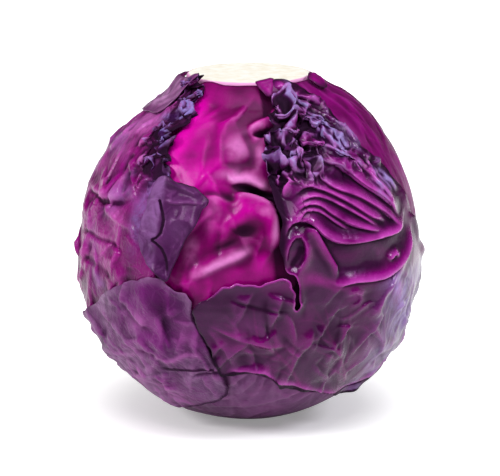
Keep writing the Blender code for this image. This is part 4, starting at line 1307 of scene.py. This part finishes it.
def flap_shape(s):
    s.height += 0.3 * MM * layered(s.round, 8 * MM, 131, 3) + 0.5 * MM * creased(s.round, 9 * MM, 134, 1)
    wrinkles(s, 135, 26, (-37, -16), (57, 84), (4, 12), 0.5, 70)
    s.fold([(-31.5, 61.2), (-27, 61.6), (-22, 61), (-17, 61.2), (-14.6, 60.4)], 0.7, 0.5, 1.6, groove_shade=0.3)
    s.fold([(-33, 55.5), (-28, 55.9), (-22.5, 57.5), (-17.5, 59.2)], 0.6, 0.7, 0.9)
    s.fold([(-14.8, 61), (-15.2, 64), (-16.6, 67.5), (-19.2, 71.4), (-22, 75.4)], 0.8, 0.7, 1.0, lean=0.5)
    crack = [(-32.7, 61.4), (-31.0, 64.8), (-29.9, 67.7), (-30.5, 72.3), (-33.5, 74.0)]
    split = [(-33.5, 74.0), (-31.4, 74.8), (-29.4, 76.2), (-28.0, 78.6), (-26.8, 83)]
    # Each crack is a sunken line with a near-black painted shadow along it.
    for line in (crack, split):
        s.fold(line, -1.6, 0.4, 0.4, lean=0, ends=0.04)
        s.hollow += 2.4 * s.stroke(line, 0.36, ends=0.03)
    s.fold([(-34, 61), (-32.4, 64.8), (-31.4, 68), (-32.2, 72)], 0.5, 0.6, 1.4, lean=0)
    s.bloom += 1.3 * s.left_of(-30.5, 2) + 0.3 * s.blot(-25, 70, 5, 4)
    s.crest[:] = 0.7
    s.patch += 0.4 * s.blot(-22, 74, 2.5, 7, 20)
    # The near-black edge colour along the right edge is a painted shadow line.
    s.edge_share = s.right_of(-33, 4)
    s.curl_share = 0.2 + 2.4 * s.edge_share
    s.vivid += 0.3 * s.left_of(-32, 3)


torn_flap = Leaf("torn_flap_blade", [
    (-33, 54.5), (-27, 55.2), (-21, 56.3), (-15.5, 58.8), (-14, 60.5), (-15.5, 63.5), (-18.5, 69.5),
    (-22, 76), (-24.6, 82), (-26.4, 86.2), (-29.5, 84.5), (-35, 80.5), (-38, 76), (-38.4, 70),
    (-37.5, 65), (-36, 59)], spacing=0.45 * MM, ragged=0.5, curl=0.6, thickness=0.8 * MM, seed=12)
flap_finish = leaf_finish(
    "withered_slate", (46, 12, 50), (88, 42, 90), (112, 56, 112), (92, 66, 100), (20, 4, 22),
    bloom=(134, 92, 144), cloud=40, net=0.12, wrinkle=0.6, roughness=0.42, coat=0.12, relief=0.5)
lay_leaf(torn_flap, flap_shape, "torn_flap", flap_finish)

# The left shoulder leaf: what is left of an outermost leaf, a satin strip round the left shoulder
# just under the stem's rim.


def shoulder_shape(s):
    s.height += 0.3 * MM * layered(s.round, 12 * MM, 141, 2)
    s.fold([(-60, 21), (-68, 25), (-76, 29), (-88, 32)], 0.8, 1.2, 2.4, lean=0.2)
    s.edge_share *= 0.35
    s.height += 0.12 * MM * grain(s.round * (1, 1, 0.4), 2.2 * MM, 142)
    wrinkles(s, 144, 16, (-110, -50), (21, 33), (8, 20), 0.6, 60, ridge_highlight=1.4)
    # Painted highlights: pale satin streaks across the shoulder.
    s.patch += 1.1 * s.stroke([(-74, 20.5), (-71, 24), (-73, 28), (-78, 32)], 1.1)
    s.patch += 0.6 * s.stroke([(-54, 22), (-64, 25), (-72, 30)], 1.2)
    draw_veins(s, fan(range(-116, -50, 11), 21, 33, 0.8, -4), 143, forks=0, relief=0.2)


left_shoulder_leaf = Leaf("left_shoulder_blade", [
    (-44, 20.2), (-49, 25), (-53, 30), (-60, 33.6), (-72, 34), (-86, 35.4), (-104, 36), (-120, 31),
    (-113, 20.6), (-84, 20.2), (-62, 20.2)], spacing=0.65 * MM, ragged=0.4, curl=0.0, hug=1.0 * MM,
    thickness=0.7 * MM, seed=13)
shoulder_finish = leaf_finish(
    "satin_shoulder", (108, 50, 102), (150, 88, 142), (196, 144, 192), (180, 120, 170), (110, 50, 100),
    cloud=30, net=0.08, wrinkle=0.35, roughness=0.3, coat=0.3, relief=0.3)
lay_leaf(left_shoulder_leaf, shoulder_shape, "left_shoulder_leaf", shoulder_finish)
